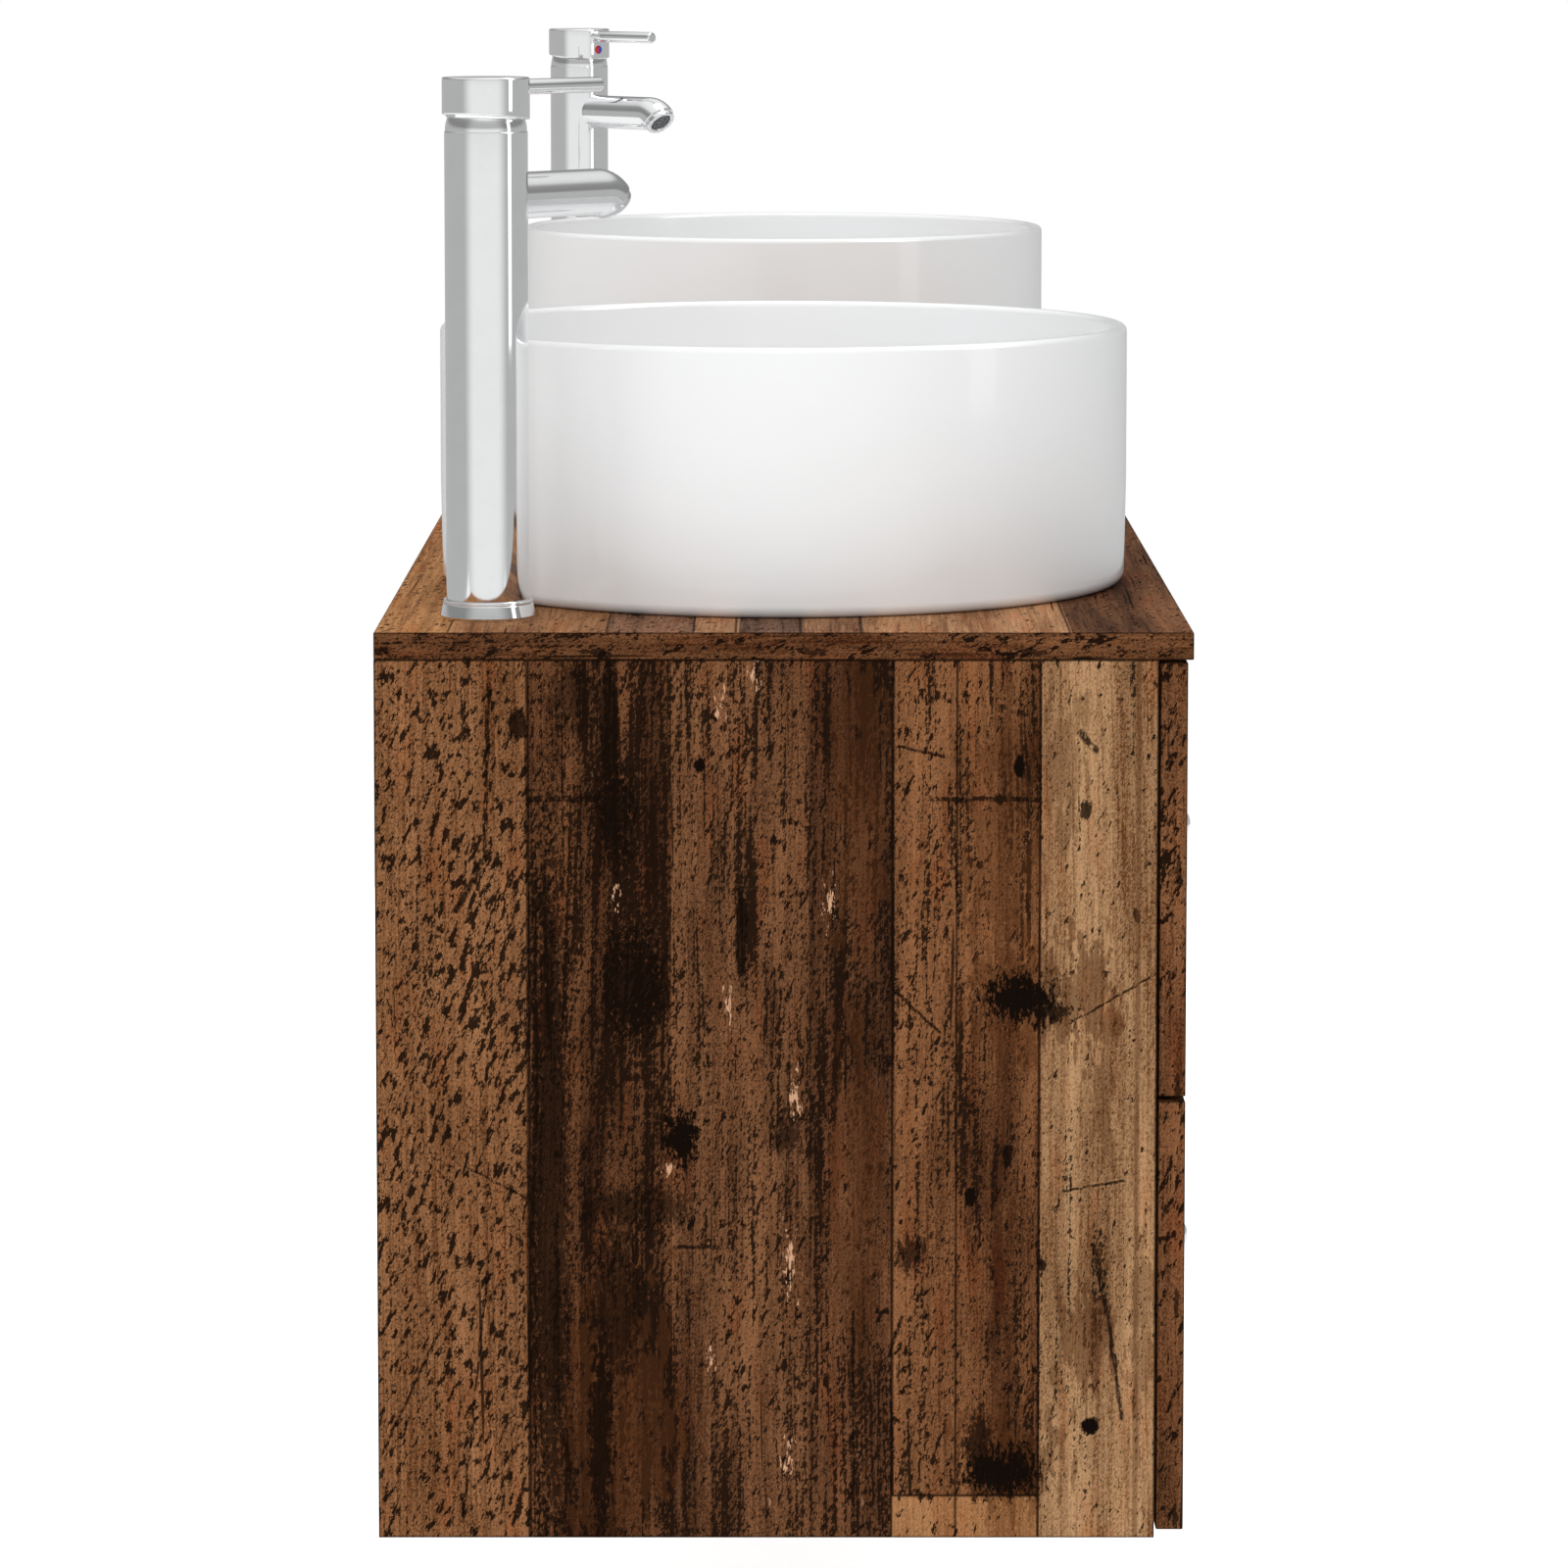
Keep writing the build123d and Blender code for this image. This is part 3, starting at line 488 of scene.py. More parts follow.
# ------------------------------------------------------------------ wood effects
def plank_figure():
    """Colour, height and roughness of one old plank.

    Place holds metres across, along and through the plank. Noises stretched along the grain give the
    fibres and streaks, short leaning ones the flecks, and a broad one, roughened by the others and cut
    off at a level set by Char, the burnt parts.
    """
    def fill(b, ins):
        place = ins["Place"]
        sway = b.noise(b.stretch(place, 7.0, 2.4), detail=2.0) - 0.5
        x, y, z = b.split(place)
        across = x + sway * 0.016
        grain = b.join(across, y, z)
        lean = b.join(across + y * 0.30, y, z)
        fibre = b.noise(b.stretch(grain, 620.0, 17.0), detail=2.0, roughness=0.6)
        line = b.noise(b.stretch(grain, 260.0, 6.0), detail=4.0, roughness=0.7)
        streak = b.noise(b.stretch(grain, 46.0, 2.0), detail=4.0, roughness=0.62)
        crust = b.noise(b.stretch(lean, 500.0, 270.0), detail=4.0, roughness=0.75)
        fleck = b.noise(b.stretch(lean, 250.0, 100.0, 7.0), detail=4.0, roughness=0.68)
        cloud = b.noise(b.stretch(grain, 16.0, 7.0, 3.0), detail=3.0, roughness=0.6)
        patch = b.noise(b.stretch(grain, 30.0, 4.5), detail=6.0, roughness=0.72, distortion=0.4)
        grit = b.noise(b.stretch(lean, 1050.0, 620.0, 3.0), detail=2.0, roughness=0.6)
        body = (streak - 0.5) * ins["Streaks"]
        for layer, weight in ((line, 1.3), (fibre, 1.2), (grit, 1.6), (crust, 2.0), (cloud, 0.9)):
            body = body + (layer - 0.5) * weight
        colour = b.mix(b.math("ADD", body, 0.5, clamp=True), ins["Low"], ins["High"])
        warm = b.fade(b.noise(b.stretch(grain, 70.0, 14.0, 5.0), detail=3.0), 0.50, 0.72, 0.0, 0.45)
        colour = b.mix(warm, colour, (0.92, 0.56, 0.38), "MULTIPLY")
        cut = 0.665 - ins["Flecks"] * 0.125 - (cloud - 0.5) * 0.20
        specks = b.fade(fleck, cut, cut + 0.02, 0.0, 0.95)
        cut = 0.645 - ins["Flecks"] * 0.08
        specks = b.most(specks, b.fade(crust, cut, cut + 0.035, 0.0, 0.9))
        tar = patch * 0.24 + line * 0.24 + crust * 0.30 + fibre * 0.12 + grit * 0.10
        edge = 0.61 - ins["Char"] * 0.20
        burnt = b.fade(tar, edge, edge + 0.02, 0.0, 0.95)
        crack = b.fade(b.noise(b.stretch(grain, 210.0, 4.0, 11.0), detail=1.0), 0.715, 0.74, 0.0, 0.85)
        dark = b.most(specks, b.most(burnt, crack))
        colour = b.mix(dark, colour, ins["Tar"])
        chip = b.noise(b.stretch(grain, 150.0, 42.0, 13.0), detail=3.0, roughness=0.65)
        colour = b.mix(b.fade(chip, 0.71, 0.75) * ins["Chips"], colour, ins["Pale"])
        height = body * 0.5 + 0.5 - dark * 0.55
        matt = 0.66 + dark * 0.16 + (crust - 0.5) * 0.25
        return {"Colour": colour, "Height": height, "Roughness": matt}

    return shared("Plank figure",
                  {"Place": "vector", "Low": "colour", "High": "colour", "Tar": "colour", "Pale": "colour",
                   "Char": "value", "Flecks": "value", "Chips": "value", "Streaks": "value"},
                  {"Colour": "colour", "Height": "value", "Roughness": "value"}, fill)


SEAM = (0.0011, 0.0003)  # distances from a seam's middle where its dark starts and where it is full
PLANK_LENGTH = 0.85
SQUARE_ON = 0.7  # a face looks along an axis when its normal's part there is more than this


def plank_layout():
    """Which plank a place is on: three random numbers for each plank, and the dark seams between planks.

    Across the board, cells of random width are planks. Along each plank, longer cells are its lengths.
    """
    def fill(b, ins):
        def cells(along, size):
            """Random cells of a usual size: each one's three numbers, and metres to its ends."""
            line = {"W": along, "Scale": 1.0}
            colour = b.put("TexVoronoi", line, "Color", voronoi_dimensions="1D")
            reach = b.put("TexVoronoi", line, "Distance", voronoi_dimensions="1D",
                          feature="DISTANCE_TO_EDGE")
            return b.split(colour), reach * size

        x, y, z = b.split(ins["Place"])
        (first, second, third), gap = cells(x / ins["Width"] + z * 13.7, ins["Width"])
        (fourth, fifth, sixth), butt = cells(y / PLANK_LENGTH + first * 37.0, PLANK_LENGTH)
        light = b.math("FRACT", second + fourth)
        burn = b.math("FRACT", third + fifth)
        speck = b.math("FRACT", first + sixth)
        seam = b.most(b.fade(gap, *SEAM), b.fade(butt, *SEAM))
        deep = z + (first + fourth) * 9.0
        return {"Place": b.join(x, y, deep), "Light": light, "Burn": burn, "Speck": speck, "Seam": seam}

    return shared("Plank layout", {"Place": "vector", "Width": "value"},
                  {"Place": "vector", "Light": "value", "Burn": "value", "Speck": "value", "Seam": "value"},
                  fill)


def edge_distance():
    """Distance along the surface to a board's nearest edge.

    Offset is the place from the board's middle, and Half its half size. Of the three distances to its
    faces the smallest is nothing, so the second smallest, max(min(x, y), min(max(x, y), z)), is the one.
    """
    def fill(b, ins):
        away = ins["Half"] - abs(ins["Offset"])
        x, y, z = b.split(away)
        return {"Distance": b.most(b.least(x, y), b.least(b.most(x, y), z))}

    return shared("Edge distance", {"Offset": "vector", "Half": "vector"}, {"Distance": "value"}, fill)


def pick_by_facing():
    """One of three vectors by the way a face looks: along X, along Y or along Z."""
    def fill(b, ins):
        x, y = b.split(abs(ins["Facing"]))[:2]
        sideways = b.math("GREATER_THAN", x, SQUARE_ON)
        forwards = b.math("GREATER_THAN", y, SQUARE_ON)
        chosen = b.pick(sideways, b.pick(forwards, ins["On Z"], ins["On Y"]), ins["On X"])
        return {"Place": chosen}

    inputs = {"Facing": "vector", "On X": "vector", "On Y": "vector", "On Z": "vector"}
    return shared("Pick by facing", inputs, {"Place": "vector"}, fill)


def blotch():
    """A mark within an oval: 1 inside its half sizes, fading to 0 just outside. Ragged shifts its edge."""
    def fill(b, ins):
        away = (ins["Place"] - ins["Centre"]) / ins["Half"]
        reach = b.vector("LENGTH", away, out=1) + ins["Ragged"]
        return {"Mask": b.fade(reach, 1.15, 0.9)}

    return shared("Blotch", {"Place": "vector", "Centre": "vector", "Half": "vector", "Ragged": "value"},
                  {"Mask": "value"}, fill)


def scratch():
    """A thin straight mark from Start along Run.

    The nearest point on it is Start + t Run, with t = (place - start) . run / |run|^2 kept from 0 to 1.
    """
    def fill(b, ins):
        away = ins["Place"] - ins["Start"]
        along = b.vector("DOT_PRODUCT", away, ins["Run"], out=1)
        length = b.vector("DOT_PRODUCT", ins["Run"], ins["Run"], out=1)
        share = b.math("DIVIDE", along, length, clamp=True)
        scaled = b.put("VectorMath", {0: ins["Run"], "Scale": share}, operation="SCALE")
        reach = b.vector("LENGTH", away - scaled, out=1)
        return {"Mask": b.fade(reach, ins["Width"], ins["Width"] * 0.45)}

    return shared("Scratch", {"Place": "vector", "Start": "vector", "Run": "vector", "Width": "value"},
                  {"Mask": "value"}, fill)


# Planks from the wall forwards: width, low and high tone, char, flecks, chips, streaks. The end
# board's come first, then the slab's.
END_PLANKS = (
    (0.0830, (76, 43, 20), (160, 112, 75), 0.36, 1.00, 0.05, 0.8),
    (0.0270, (50, 27, 14), (130, 85, 54), 0.58, 0.60, 0.20, 1.4),
    (0.0500, (46, 25, 13), (126, 82, 52), 0.64, 0.65, 0.12, 1.4),
    (0.0750, (56, 32, 18), (144, 98, 65), 0.52, 0.70, 0.40, 1.6),
    (0.0460, (48, 27, 15), (126, 83, 54), 0.60, 0.65, 0.20, 1.6),
    (0.0350, (68, 38, 19), (152, 103, 67), 0.44, 0.60, 0.15, 1.6),
    (0.0450, (60, 33, 17), (144, 96, 61), 0.50, 0.60, 0.15, 2.0),
    (0.0640, (88, 53, 28), (178, 139, 100), 0.36, 0.35, 0.15, 2.4),
)
TOP_PLANKS = (
    (0.0400, (104, 64, 36), (196, 142, 92), 0.18, 0.65, 0.10, 1.2),
    (0.0860, (98, 62, 38), (176, 128, 88), 0.22, 0.50, 0.10, 1.6),
    (0.0470, (66, 42, 30), (150, 110, 84), 0.36, 0.50, 0.10, 1.6),
    (0.0230, (96, 61, 38), (178, 132, 96), 0.20, 0.40, 0.10, 1.8),
    (0.0350, (58, 38, 28), (136, 102, 82), 0.40, 0.50, 0.10, 1.6),
    (0.0330, (88, 56, 35), (172, 128, 94), 0.24, 0.40, 0.10, 1.8),
    (0.1130, (114, 76, 48), (192, 146, 106), 0.14, 0.30, 0.10, 1.8),
    (0.0670, (58, 35, 21), (136, 92, 62), 0.40, 0.50, 0.20, 1.8),
)
# Marks on the near end board in metres, across (0 at the wall, forwards is minus) and by height. Ovals
# give their middle, half sizes and depth; scratches give their two ends and width.
END_BLOTCHES = (
    (-0.351, 0.050, 0.019, 0.013, 1.0), (-0.366, 0.043, 0.013, 0.006, 0.9),
    (-0.341, -0.213, 0.020, 0.013, 1.0), (-0.328, -0.200, 0.008, 0.018, 0.8),
    (-0.140, 0.058, 0.017, 0.027, 0.9), (-0.131, 0.150, 0.009, 0.027, 0.9),
    (-0.127, 0.200, 0.005, 0.034, 0.8), (-0.108, 0.215, 0.014, 0.018, 0.6),
    (-0.095, -0.060, 0.010, 0.190, 0.8), (-0.166, -0.028, 0.009, 0.015, 1.0),
    (-0.143, -0.066, 0.027, 0.012, 0.7), (-0.122, -0.195, 0.006, 0.058, 0.9),
    (-0.130, -0.120, 0.012, 0.040, 0.7), (-0.292, -0.092, 0.008, 0.008, 0.8),
    (-0.199, 0.085, 0.003, 0.028, 0.9), (-0.176, 0.178, 0.003, 0.004, 1.0),
    (-0.224, -0.026, 0.009, 0.009, 0.7), (-0.350, 0.177, 0.003, 0.006, 1.0),
    (-0.339, 0.159, 0.003, 0.003, 0.9), (-0.386, 0.153, 0.003, 0.005, 0.9),
    (-0.414, 0.095, 0.002, 0.004, 0.9), (-0.324, -0.060, 0.003, 0.005, 1.0),
    (-0.390, -0.188, 0.005, 0.005, 1.0), (-0.363, -0.098, 0.003, 0.003, 0.9),
    (-0.344, -0.037, 0.003, 0.006, 0.9), (-0.078, 0.200, 0.005, 0.008, 0.9),
)
END_STAINS = (
    (-0.386, 0.051, 0.016, 0.026, 0.60), (-0.397, -0.005, 0.006, 0.032, 0.40),
    (-0.388, -0.141, 0.014, 0.033, 0.55), (-0.418, -0.134, 0.006, 0.050, 0.40),
    (-0.374, 0.179, 0.011, 0.032, 0.35), (-0.340, 0.135, 0.018, 0.060, 0.40),
    (-0.352, 0.050, 0.027, 0.030, 0.55), (-0.345, -0.205, 0.026, 0.024, 0.50),
    (-0.130, -0.180, 0.030, 0.060, 0.40), (-0.262, 0.160, 0.014, 0.080, 0.35),
    (-0.262, -0.060, 0.014, 0.090, 0.35),
)
END_SCRATCHES = (
    (-0.062, 0.224, -0.060, 0.128, 0.0016), (-0.060, 0.128, -0.044, 0.098, 0.0022),
    (-0.050, -0.044, -0.082, -0.061, 0.0010), (-0.060, -0.102, -0.046, -0.240, 0.0011),
    (-0.034, -0.134, -0.001, -0.205, 0.0011), (-0.084, 0.159, -0.124, 0.159, 0.0024),
    (-0.163, -0.088, -0.188, -0.088, 0.0014), (-0.284, 0.188, -0.311, 0.182, 0.0012),
    (-0.281, 0.055, -0.307, 0.031, 0.0012), (-0.286, -0.127, -0.280, -0.148, 0.0014),
    (-0.303, 0.159, -0.360, 0.159, 0.0018), (-0.424, 0.063, -0.378, 0.036, 0.0009),
    (-0.375, -0.057, -0.408, -0.051, 0.0010), (-0.391, -0.087, -0.399, -0.124, 0.0022),
    (-0.399, -0.124, -0.407, -0.183, 0.0016), (-0.383, 0.195, -0.391, 0.186, 0.0026),
    (-0.102, 0.235, -0.102, 0.110, 0.0009), (-0.260, -0.124, -0.260, -0.247, 0.0012),
)
END_CHIPS = (
    (-0.187, 0.211, 0.003, 0.008, 1.0), (-0.206, 0.226, 0.003, 0.010, 1.0),
    (-0.131, 0.105, 0.003, 0.007, 1.0), (-0.192, 0.045, 0.003, 0.012, 1.0),
    (-0.182, -0.150, 0.003, 0.009, 1.0), (-0.228, -0.003, 0.003, 0.015, 1.0),
    (-0.225, -0.095, 0.004, 0.020, 1.0), (-0.225, -0.206, 0.004, 0.009, 1.0),
    (-0.159, -0.044, 0.004, 0.004, 1.0), (-0.247, 0.102, 0.003, 0.012, 1.0),
)
SMALL_MARK = 0.006


def end_marks():
    """The knots, burns, cracks and chips of the end boards, each at its own place, with ragged outlines."""
    def fill(b, ins):
        x, y = b.split(ins["Place"])[:2]
        flat = b.join(x, y, 0.0)
        shake = b.put("TexNoise", {"Vector": b.stretch(flat, 170.0, 60.0), "Scale": 1.0, "Detail": 5.0,
                                   "Roughness": 0.75}, 1)
        shake = (shake - (0.5, 0.5, 0.5)) * (0.018, 0.030, 0.0)
        ragged = flat + shake
        quiver = flat + shake * (0.30, 0.12, 0.0)
        grit = b.noise(b.stretch(flat, 420.0, 190.0), detail=4.0, roughness=0.8)
        broken = (0.5 - grit) * 4.2
        nibbled = (0.5 - grit) * 1.6

        def ovals(place, edge, marks):
            deepest = 0.0
            for across, height, half_across, half_height, depth in marks:
                mask = b.group(blotch(), {"Place": place, "Centre": (across, height, 0.0), "Ragged": edge,
                                          "Half": (half_across, half_height, 1.0)})["Mask"]
                deepest = b.most(mask * depth, deepest)
            return deepest

        large = [mark for mark in END_BLOTCHES if mark[2] >= SMALL_MARK]
        small = [mark for mark in END_BLOTCHES if mark[2] < SMALL_MARK]
        dark = b.most(ovals(ragged, broken, large), ovals(quiver, nibbled, small))
        for x0, y0, x1, y1, width in END_SCRATCHES:
            mask = b.group(scratch(), {"Place": quiver, "Start": (x0, y0, 0.0),
                                       "Run": (x1 - x0, y1 - y0, 0.0), "Width": width})["Mask"]
            dark = b.most(mask * b.fade(grit, 0.40, 0.50, 0.1, 0.9), dark)
        flake = b.noise(b.stretch(flat, 520.0, 120.0), detail=3.0, roughness=0.7)
        pale = ovals(quiver, (0.60 - flake) * 9.0, END_CHIPS)
        soft = (0.5 - b.noise(b.stretch(flat, 170.0, 40.0), detail=5.0)) * 5.0
        stain = ovals(ragged, soft, END_STAINS)
        return {"Dark": dark, "Pale": pale, "Stain": stain}

    return shared("End board marks", {"Place": "vector"},
                  {"Dark": "value", "Pale": "value", "Stain": "value"}, fill)


def plank_place(b, place, facing, on_x, on_y, on_z):
    """Metres across and along the planks on each face, from which of x, y and z they are read."""
    axes = dict(zip("xyz", b.split(place)))
    picks = {}
    for title, (across, along, depth) in (("On X", on_x), ("On Y", on_y), ("On Z", on_z)):
        picks[title] = b.join(axes[across], axes[along], depth)
    return b.group(pick_by_facing(), {"Facing": facing, **picks})["Place"]


STREAK_SCALE = 4.0  # a ramp's colours end at 1, so streaks are stored divided by this


def set_planks(b, across, planks):
    """The tones and wear of planks laid side by side, by the distance from the first one's outer edge."""
    widths = np.array([plank[0] for plank in planks])
    starts = (np.cumsum(widths) - widths) / widths.sum()

    share = across / float(widths.sum())

    def ramp(part):
        return b.steps(share, [(at, part(plank)) for at, plank in zip(starts, planks)])

    char, flecks, chips = b.split(ramp(lambda plank: plank[3:6]))
    streaks = ramp(lambda plank: (plank[6] / STREAK_SCALE,) * 3)
    return {"Low": ramp(lambda plank: tone(*plank[1])), "High": ramp(lambda plank: tone(*plank[2])),
            "Char": char, "Flecks": flecks, "Chips": chips,
            "Streaks": b.math("MULTIPLY", streaks, STREAK_SCALE)}


BAND = {"Low": (58, 33, 17), "High": (136, 90, 58), "Char": 0.40, "Flecks": 0.75, "Chips": 0.10,
        "Streaks": 1.5}
BAND_REPEAT = 0.119
DASH_OFFSET = 0.0030
DASH_HALF = (0.0016, 0.0080, 1.0)


def edge_band(b, spot, facing, thin, middle, feeds):
    """The band glued on a board's edges, where a face isn't square to the axis thin.

    Gives the figure's feeds with the band's own in their place there, the band's mask, and the short dark
    dashes that come back along it at every repeat of its print.
    """
    mask = b.math("LESS_THAN", b.split(abs(facing))["xyz".index(thin)], SQUARE_ON)
    mixed = {}
    for title, value in BAND.items():
        if isinstance(value, tuple):
            mixed[title] = b.mix(mask, feeds[title], tone(*value))
        else:
            mixed[title] = b.put("Mix", {0: mask, 2: feeds[title], 3: value}, 0)
    across, along = b.split(spot)[:2]
    along = b.math("WRAP", along, BAND_REPEAT / 2, -BAND_REPEAT / 2)
    shake = (b.noise(b.stretch(spot, 500.0, 240.0), detail=3.0) - 0.5) * 0.006
    across = across - (float(middle) - DASH_OFFSET) + shake
    dash = b.group(blotch(), {"Place": b.join(across, along + shake * 2.0), "Centre": (0.0, 0.0, 0.0),
                              "Half": DASH_HALF, "Ragged": 0.0})["Mask"]
    return mixed, mask, dash * mask


def wood(name, thin, on_x, on_y, on_z, middle=0.0, centre=None, half=None, seed_of=None, planks=None):
    """A reclaimed-plank finish. Each of on_x, on_y and on_z is (axis across, axis along, seed).

    thin is the axis that the board is thin along, and middle its middle there. Without a list of set
    planks their widths and tones are random.
    """
    settings = bpy.context.scene.vanity_wood

    def fill(b, shader):
        place = object_place(b)
        facing = object_facing(b)
        spot = plank_place(b, place, facing, on_x, on_y, on_z)
        if seed_of is not None:
            spot = spot + b.join(0.0, 0.0, seed_of(b, place))
        laid = b.group(plank_layout(), {"Place": spot, "Width": settings.plank_width})
        if planks is None:
            light = laid["Light"]
            feeds = {"Low": b.mix(light, tone(44, 25, 14), tone(100, 62, 35)),
                     "High": b.mix(light, tone(114, 74, 47), tone(176, 132, 93)),
                     "Char": b.lerp(laid["Burn"], 0.0, 1.0, 0.18, 0.66),
                     "Flecks": b.lerp(laid["Speck"], 0.0, 1.0, 0.15, 0.9), "Chips": 0.2,
                     "Streaks": b.lerp(light, 0.0, 1.0, 1.2, 2.2)}
            line = laid["Seam"]
            place_on = laid["Place"]
        else:
            y = b.split(place)[1]
            feeds = set_planks(b, -y, planks)
            line = 0.0
            for at in np.cumsum([plank[0] for plank in planks])[:-1]:
                line = b.most(b.fade(abs(y + float(at)), *SEAM), line)
            place_on = spot
        feeds, band, dash = edge_band(b, spot, facing, thin, middle, feeds)
        figure = b.group(plank_figure(), {"Place": place_on, "Tar": tuple(settings.char),
                                          "Pale": tuple(settings.pale), **feeds})
        line = b.most(line * (1.0 - band), dash)
        if half is not None:
            offset = centre(b, place) if callable(centre) else place - centre
            rim = b.group(edge_distance(), {"Offset": offset, "Half": half})["Distance"]
            line = b.most(line, b.fade(rim, 0.0009, 0.0003))
        colour = b.mix(line * 0.78, figure["Colour"], tuple(settings.char))
        b.feed(shader.inputs["Base Color"], colour)
        b.feed(shader.inputs["Roughness"], figure["Roughness"] - 0.2 * (settings.gloss - 0.4))
        shader.inputs["Specular IOR Level"].default_value = 0.02
        height = figure["Height"] - line * 0.8
        raise_grain(b, shader, height, settings.relief)

    return finish_of(name, fill)


SHORT_PLANK = (-0.281, -0.361)  # where the short plank at the foot starts and ends, along Y
SHORT_PLANK_TOP = -0.2265
STRIPE_AT = -0.4145
END_SEAMS = ((-0.083, 0.0016), (-0.281, 0.0010), (-0.316, 0.0010), (-0.361, 0.0010))  # place and width


def end_wood():
    """The end board that the camera sees: planks of set widths and tones, and marks at set places."""
    settings = bpy.context.scene.vanity_wood
    low, high = box_of("side_panel_left")

    def fill(b, shader):
        place = object_place(b)
        facing = object_facing(b)
        spot = plank_place(b, place, facing, ("y", "z", 0.0), ("x", "z", 4.0), ("x", "y", 6.0))
        y, z = b.split(place)[1:]
        feeds = set_planks(b, -y, END_PLANKS)
        column = b.math("LESS_THAN", y, SHORT_PLANK[0]) * b.math("GREATER_THAN", y, SHORT_PLANK[1])
        tail = column * b.math("LESS_THAN", z, SHORT_PLANK_TOP)
        feeds["Low"] = b.mix(tail, feeds["Low"], tone(118, 77, 45))
        feeds["High"] = b.mix(tail, feeds["High"], tone(172, 124, 83))
        feeds["Char"] = feeds["Char"] * (1.0 - tail)
        feeds, band, dash = edge_band(b, spot, facing, "x", (low[0] + high[0]) / 2, feeds)
        bare = 1.0 - band
        figure = b.group(plank_figure(), {"Place": spot, "Tar": tuple(settings.char),
                                          "Pale": tuple(settings.pale), **feeds})
        marks = b.group(end_marks(), {"Place": spot})
        dark = b.most(marks["Dark"] * bare, dash)
        stained = b.mix(marks["Stain"] * bare, figure["Colour"], tone(78, 44, 21))
        colour = b.mix(dark, stained, tuple(settings.char))
        colour = b.mix(marks["Pale"] * bare, colour, tuple(settings.pale))
        stripe = b.fade(abs(y - STRIPE_AT), 0.0022, 0.0006) * 0.55
        colour = b.mix(stripe * bare, colour, tone(84, 52, 30))
        seam = b.fade(abs(z - SHORT_PLANK_TOP), 0.0011, 0.0004) * column
        for at, wide in END_SEAMS:
            seam = b.most(b.fade(abs(y - at), wide, wide * 0.3), seam)
        seam = seam * bare
        rim = b.group(edge_distance(), {"Offset": place - tuple((low + high) / 2),
                                        "Half": tuple((high - low) / 2)})["Distance"]
        seam = b.most(seam, b.fade(rim, 0.0011, 0.0004))
        colour = b.mix(seam * 0.8, colour, tuple(settings.char))
        b.feed(shader.inputs["Base Color"], colour)
        b.feed(shader.inputs["Roughness"], figure["Roughness"] + dark * 0.1)
        shader.inputs["Specular IOR Level"].default_value = 0.02
        height = figure["Height"] - b.most(seam, dark) * 0.6
        raise_grain(b, shader, height, settings.relief)

    return finish_of("End board planks", fill)


# ------------------------------------------------------------------ metal, glaze and small finishes
def fine_wear():
    """Handling marks on a hard finish: soft smears, fine hairline scratches and small dried drops.

    Gives a roughness near Base and a height for bump, both changing over the surface.
    """
    def fill(b, ins):
        place = ins["Place"]
        smear = b.noise(b.stretch(place, 26.0, 26.0, 15.0), detail=4.0, roughness=0.6, distortion=0.6)
        hair = b.noise(b.stretch(place, 1400.0, 1400.0, 70.0), detail=2.0, roughness=0.5)
        drops = b.put("TexVoronoi", {"Vector": place, "Scale": 130.0, "Randomness": 1.0}, "Distance")
        size = b.put("TexVoronoi", {"Vector": place, "Scale": 130.0, "Randomness": 1.0}, "Color")
        kept = b.math("GREATER_THAN", b.split(size)[0], 0.86)
        ring = b.fade(abs(drops - 0.22), 0.06, 0.0) * kept
        rough = ins["Base"] + (smear - 0.45) * ins["Wear"]
        rough = rough + ring * (ins["Wear"] * 0.5)
        rough = b.most(rough, 0.02)
        height = hair * 0.35 + smear * 0.65
        return {"Roughness": rough, "Height": height}

    return shared("Fine wear", {"Place": "vector", "Base": "value", "Wear": "value"},
                  {"Roughness": "value", "Height": "value"}, fill)


def plated(name, colour, roughness, wear, relief=0.00001, metallic=1.0, specular=0.5, shade=0.0):
    """A hard finish with fine wear: plated, bare or painted metal, or moulded plastic."""
    def fill(b, shader):
        place = object_place(b)
        worn = b.group(fine_wear(), {"Place": place, "Base": roughness, "Wear": wear})
        cast = b.noise(b.stretch(place, 60.0, 60.0, 60.0), detail=4.0, roughness=0.65)
        darker = tuple(part * (1.0 - shade) for part in colour)
        b.feed(shader.inputs["Base Color"], b.mix(b.fade(cast, 0.35, 0.7), darker, colour))
        b.feed(shader.inputs["Roughness"], worn["Roughness"])
        shader.inputs["Metallic"].default_value = metallic
        shader.inputs["Specular IOR Level"].default_value = specular
        raise_grain(b, shader, worn["Height"], relief)

    return finish_of(name, fill)


def chrome(name="Mixer chrome"):
    settings = bpy.context.scene.vanity_chrome
    return plated(name, tuple(settings.tint), settings.polish, 0.05, relief=0.0000012, shade=0.025)


def glaze():
    """White glaze: a clear coat over a body whose surface swells very slightly."""
    settings = bpy.context.scene.vanity_ceramic

    def fill(b, shader):
        place = object_place(b)
        swell = b.noise(b.stretch(place, 9.0, 9.0, 9.0), detail=2.0)
        skin_noise = b.noise(b.stretch(place, 220.0, 220.0, 220.0), detail=2.0)
        cast = b.noise(b.stretch(place, 5.0, 5.0, 7.0), detail=3.0)
        colour = tuple(settings.glaze)
        warmer = (colour[0] * 0.985, colour[1] * 0.975, colour[2] * 0.965)
        b.feed(shader.inputs["Base Color"], b.mix(b.fade(cast, 0.35, 0.75), colour, warmer))
        rough = 0.30 + (swell - 0.4) * 0.10
        b.feed(shader.inputs["Roughness"], rough)
        shader.inputs["Coat Weight"].default_value = 0.7
        shader.inputs["Coat Roughness"].default_value = 0.05
        shader.inputs["IOR"].default_value = 1.5
        height = swell * 0.9 + skin_noise * 0.02
        raise_grain(b, shader, height, 0.0003)

    return finish_of("Basin glaze", fill)


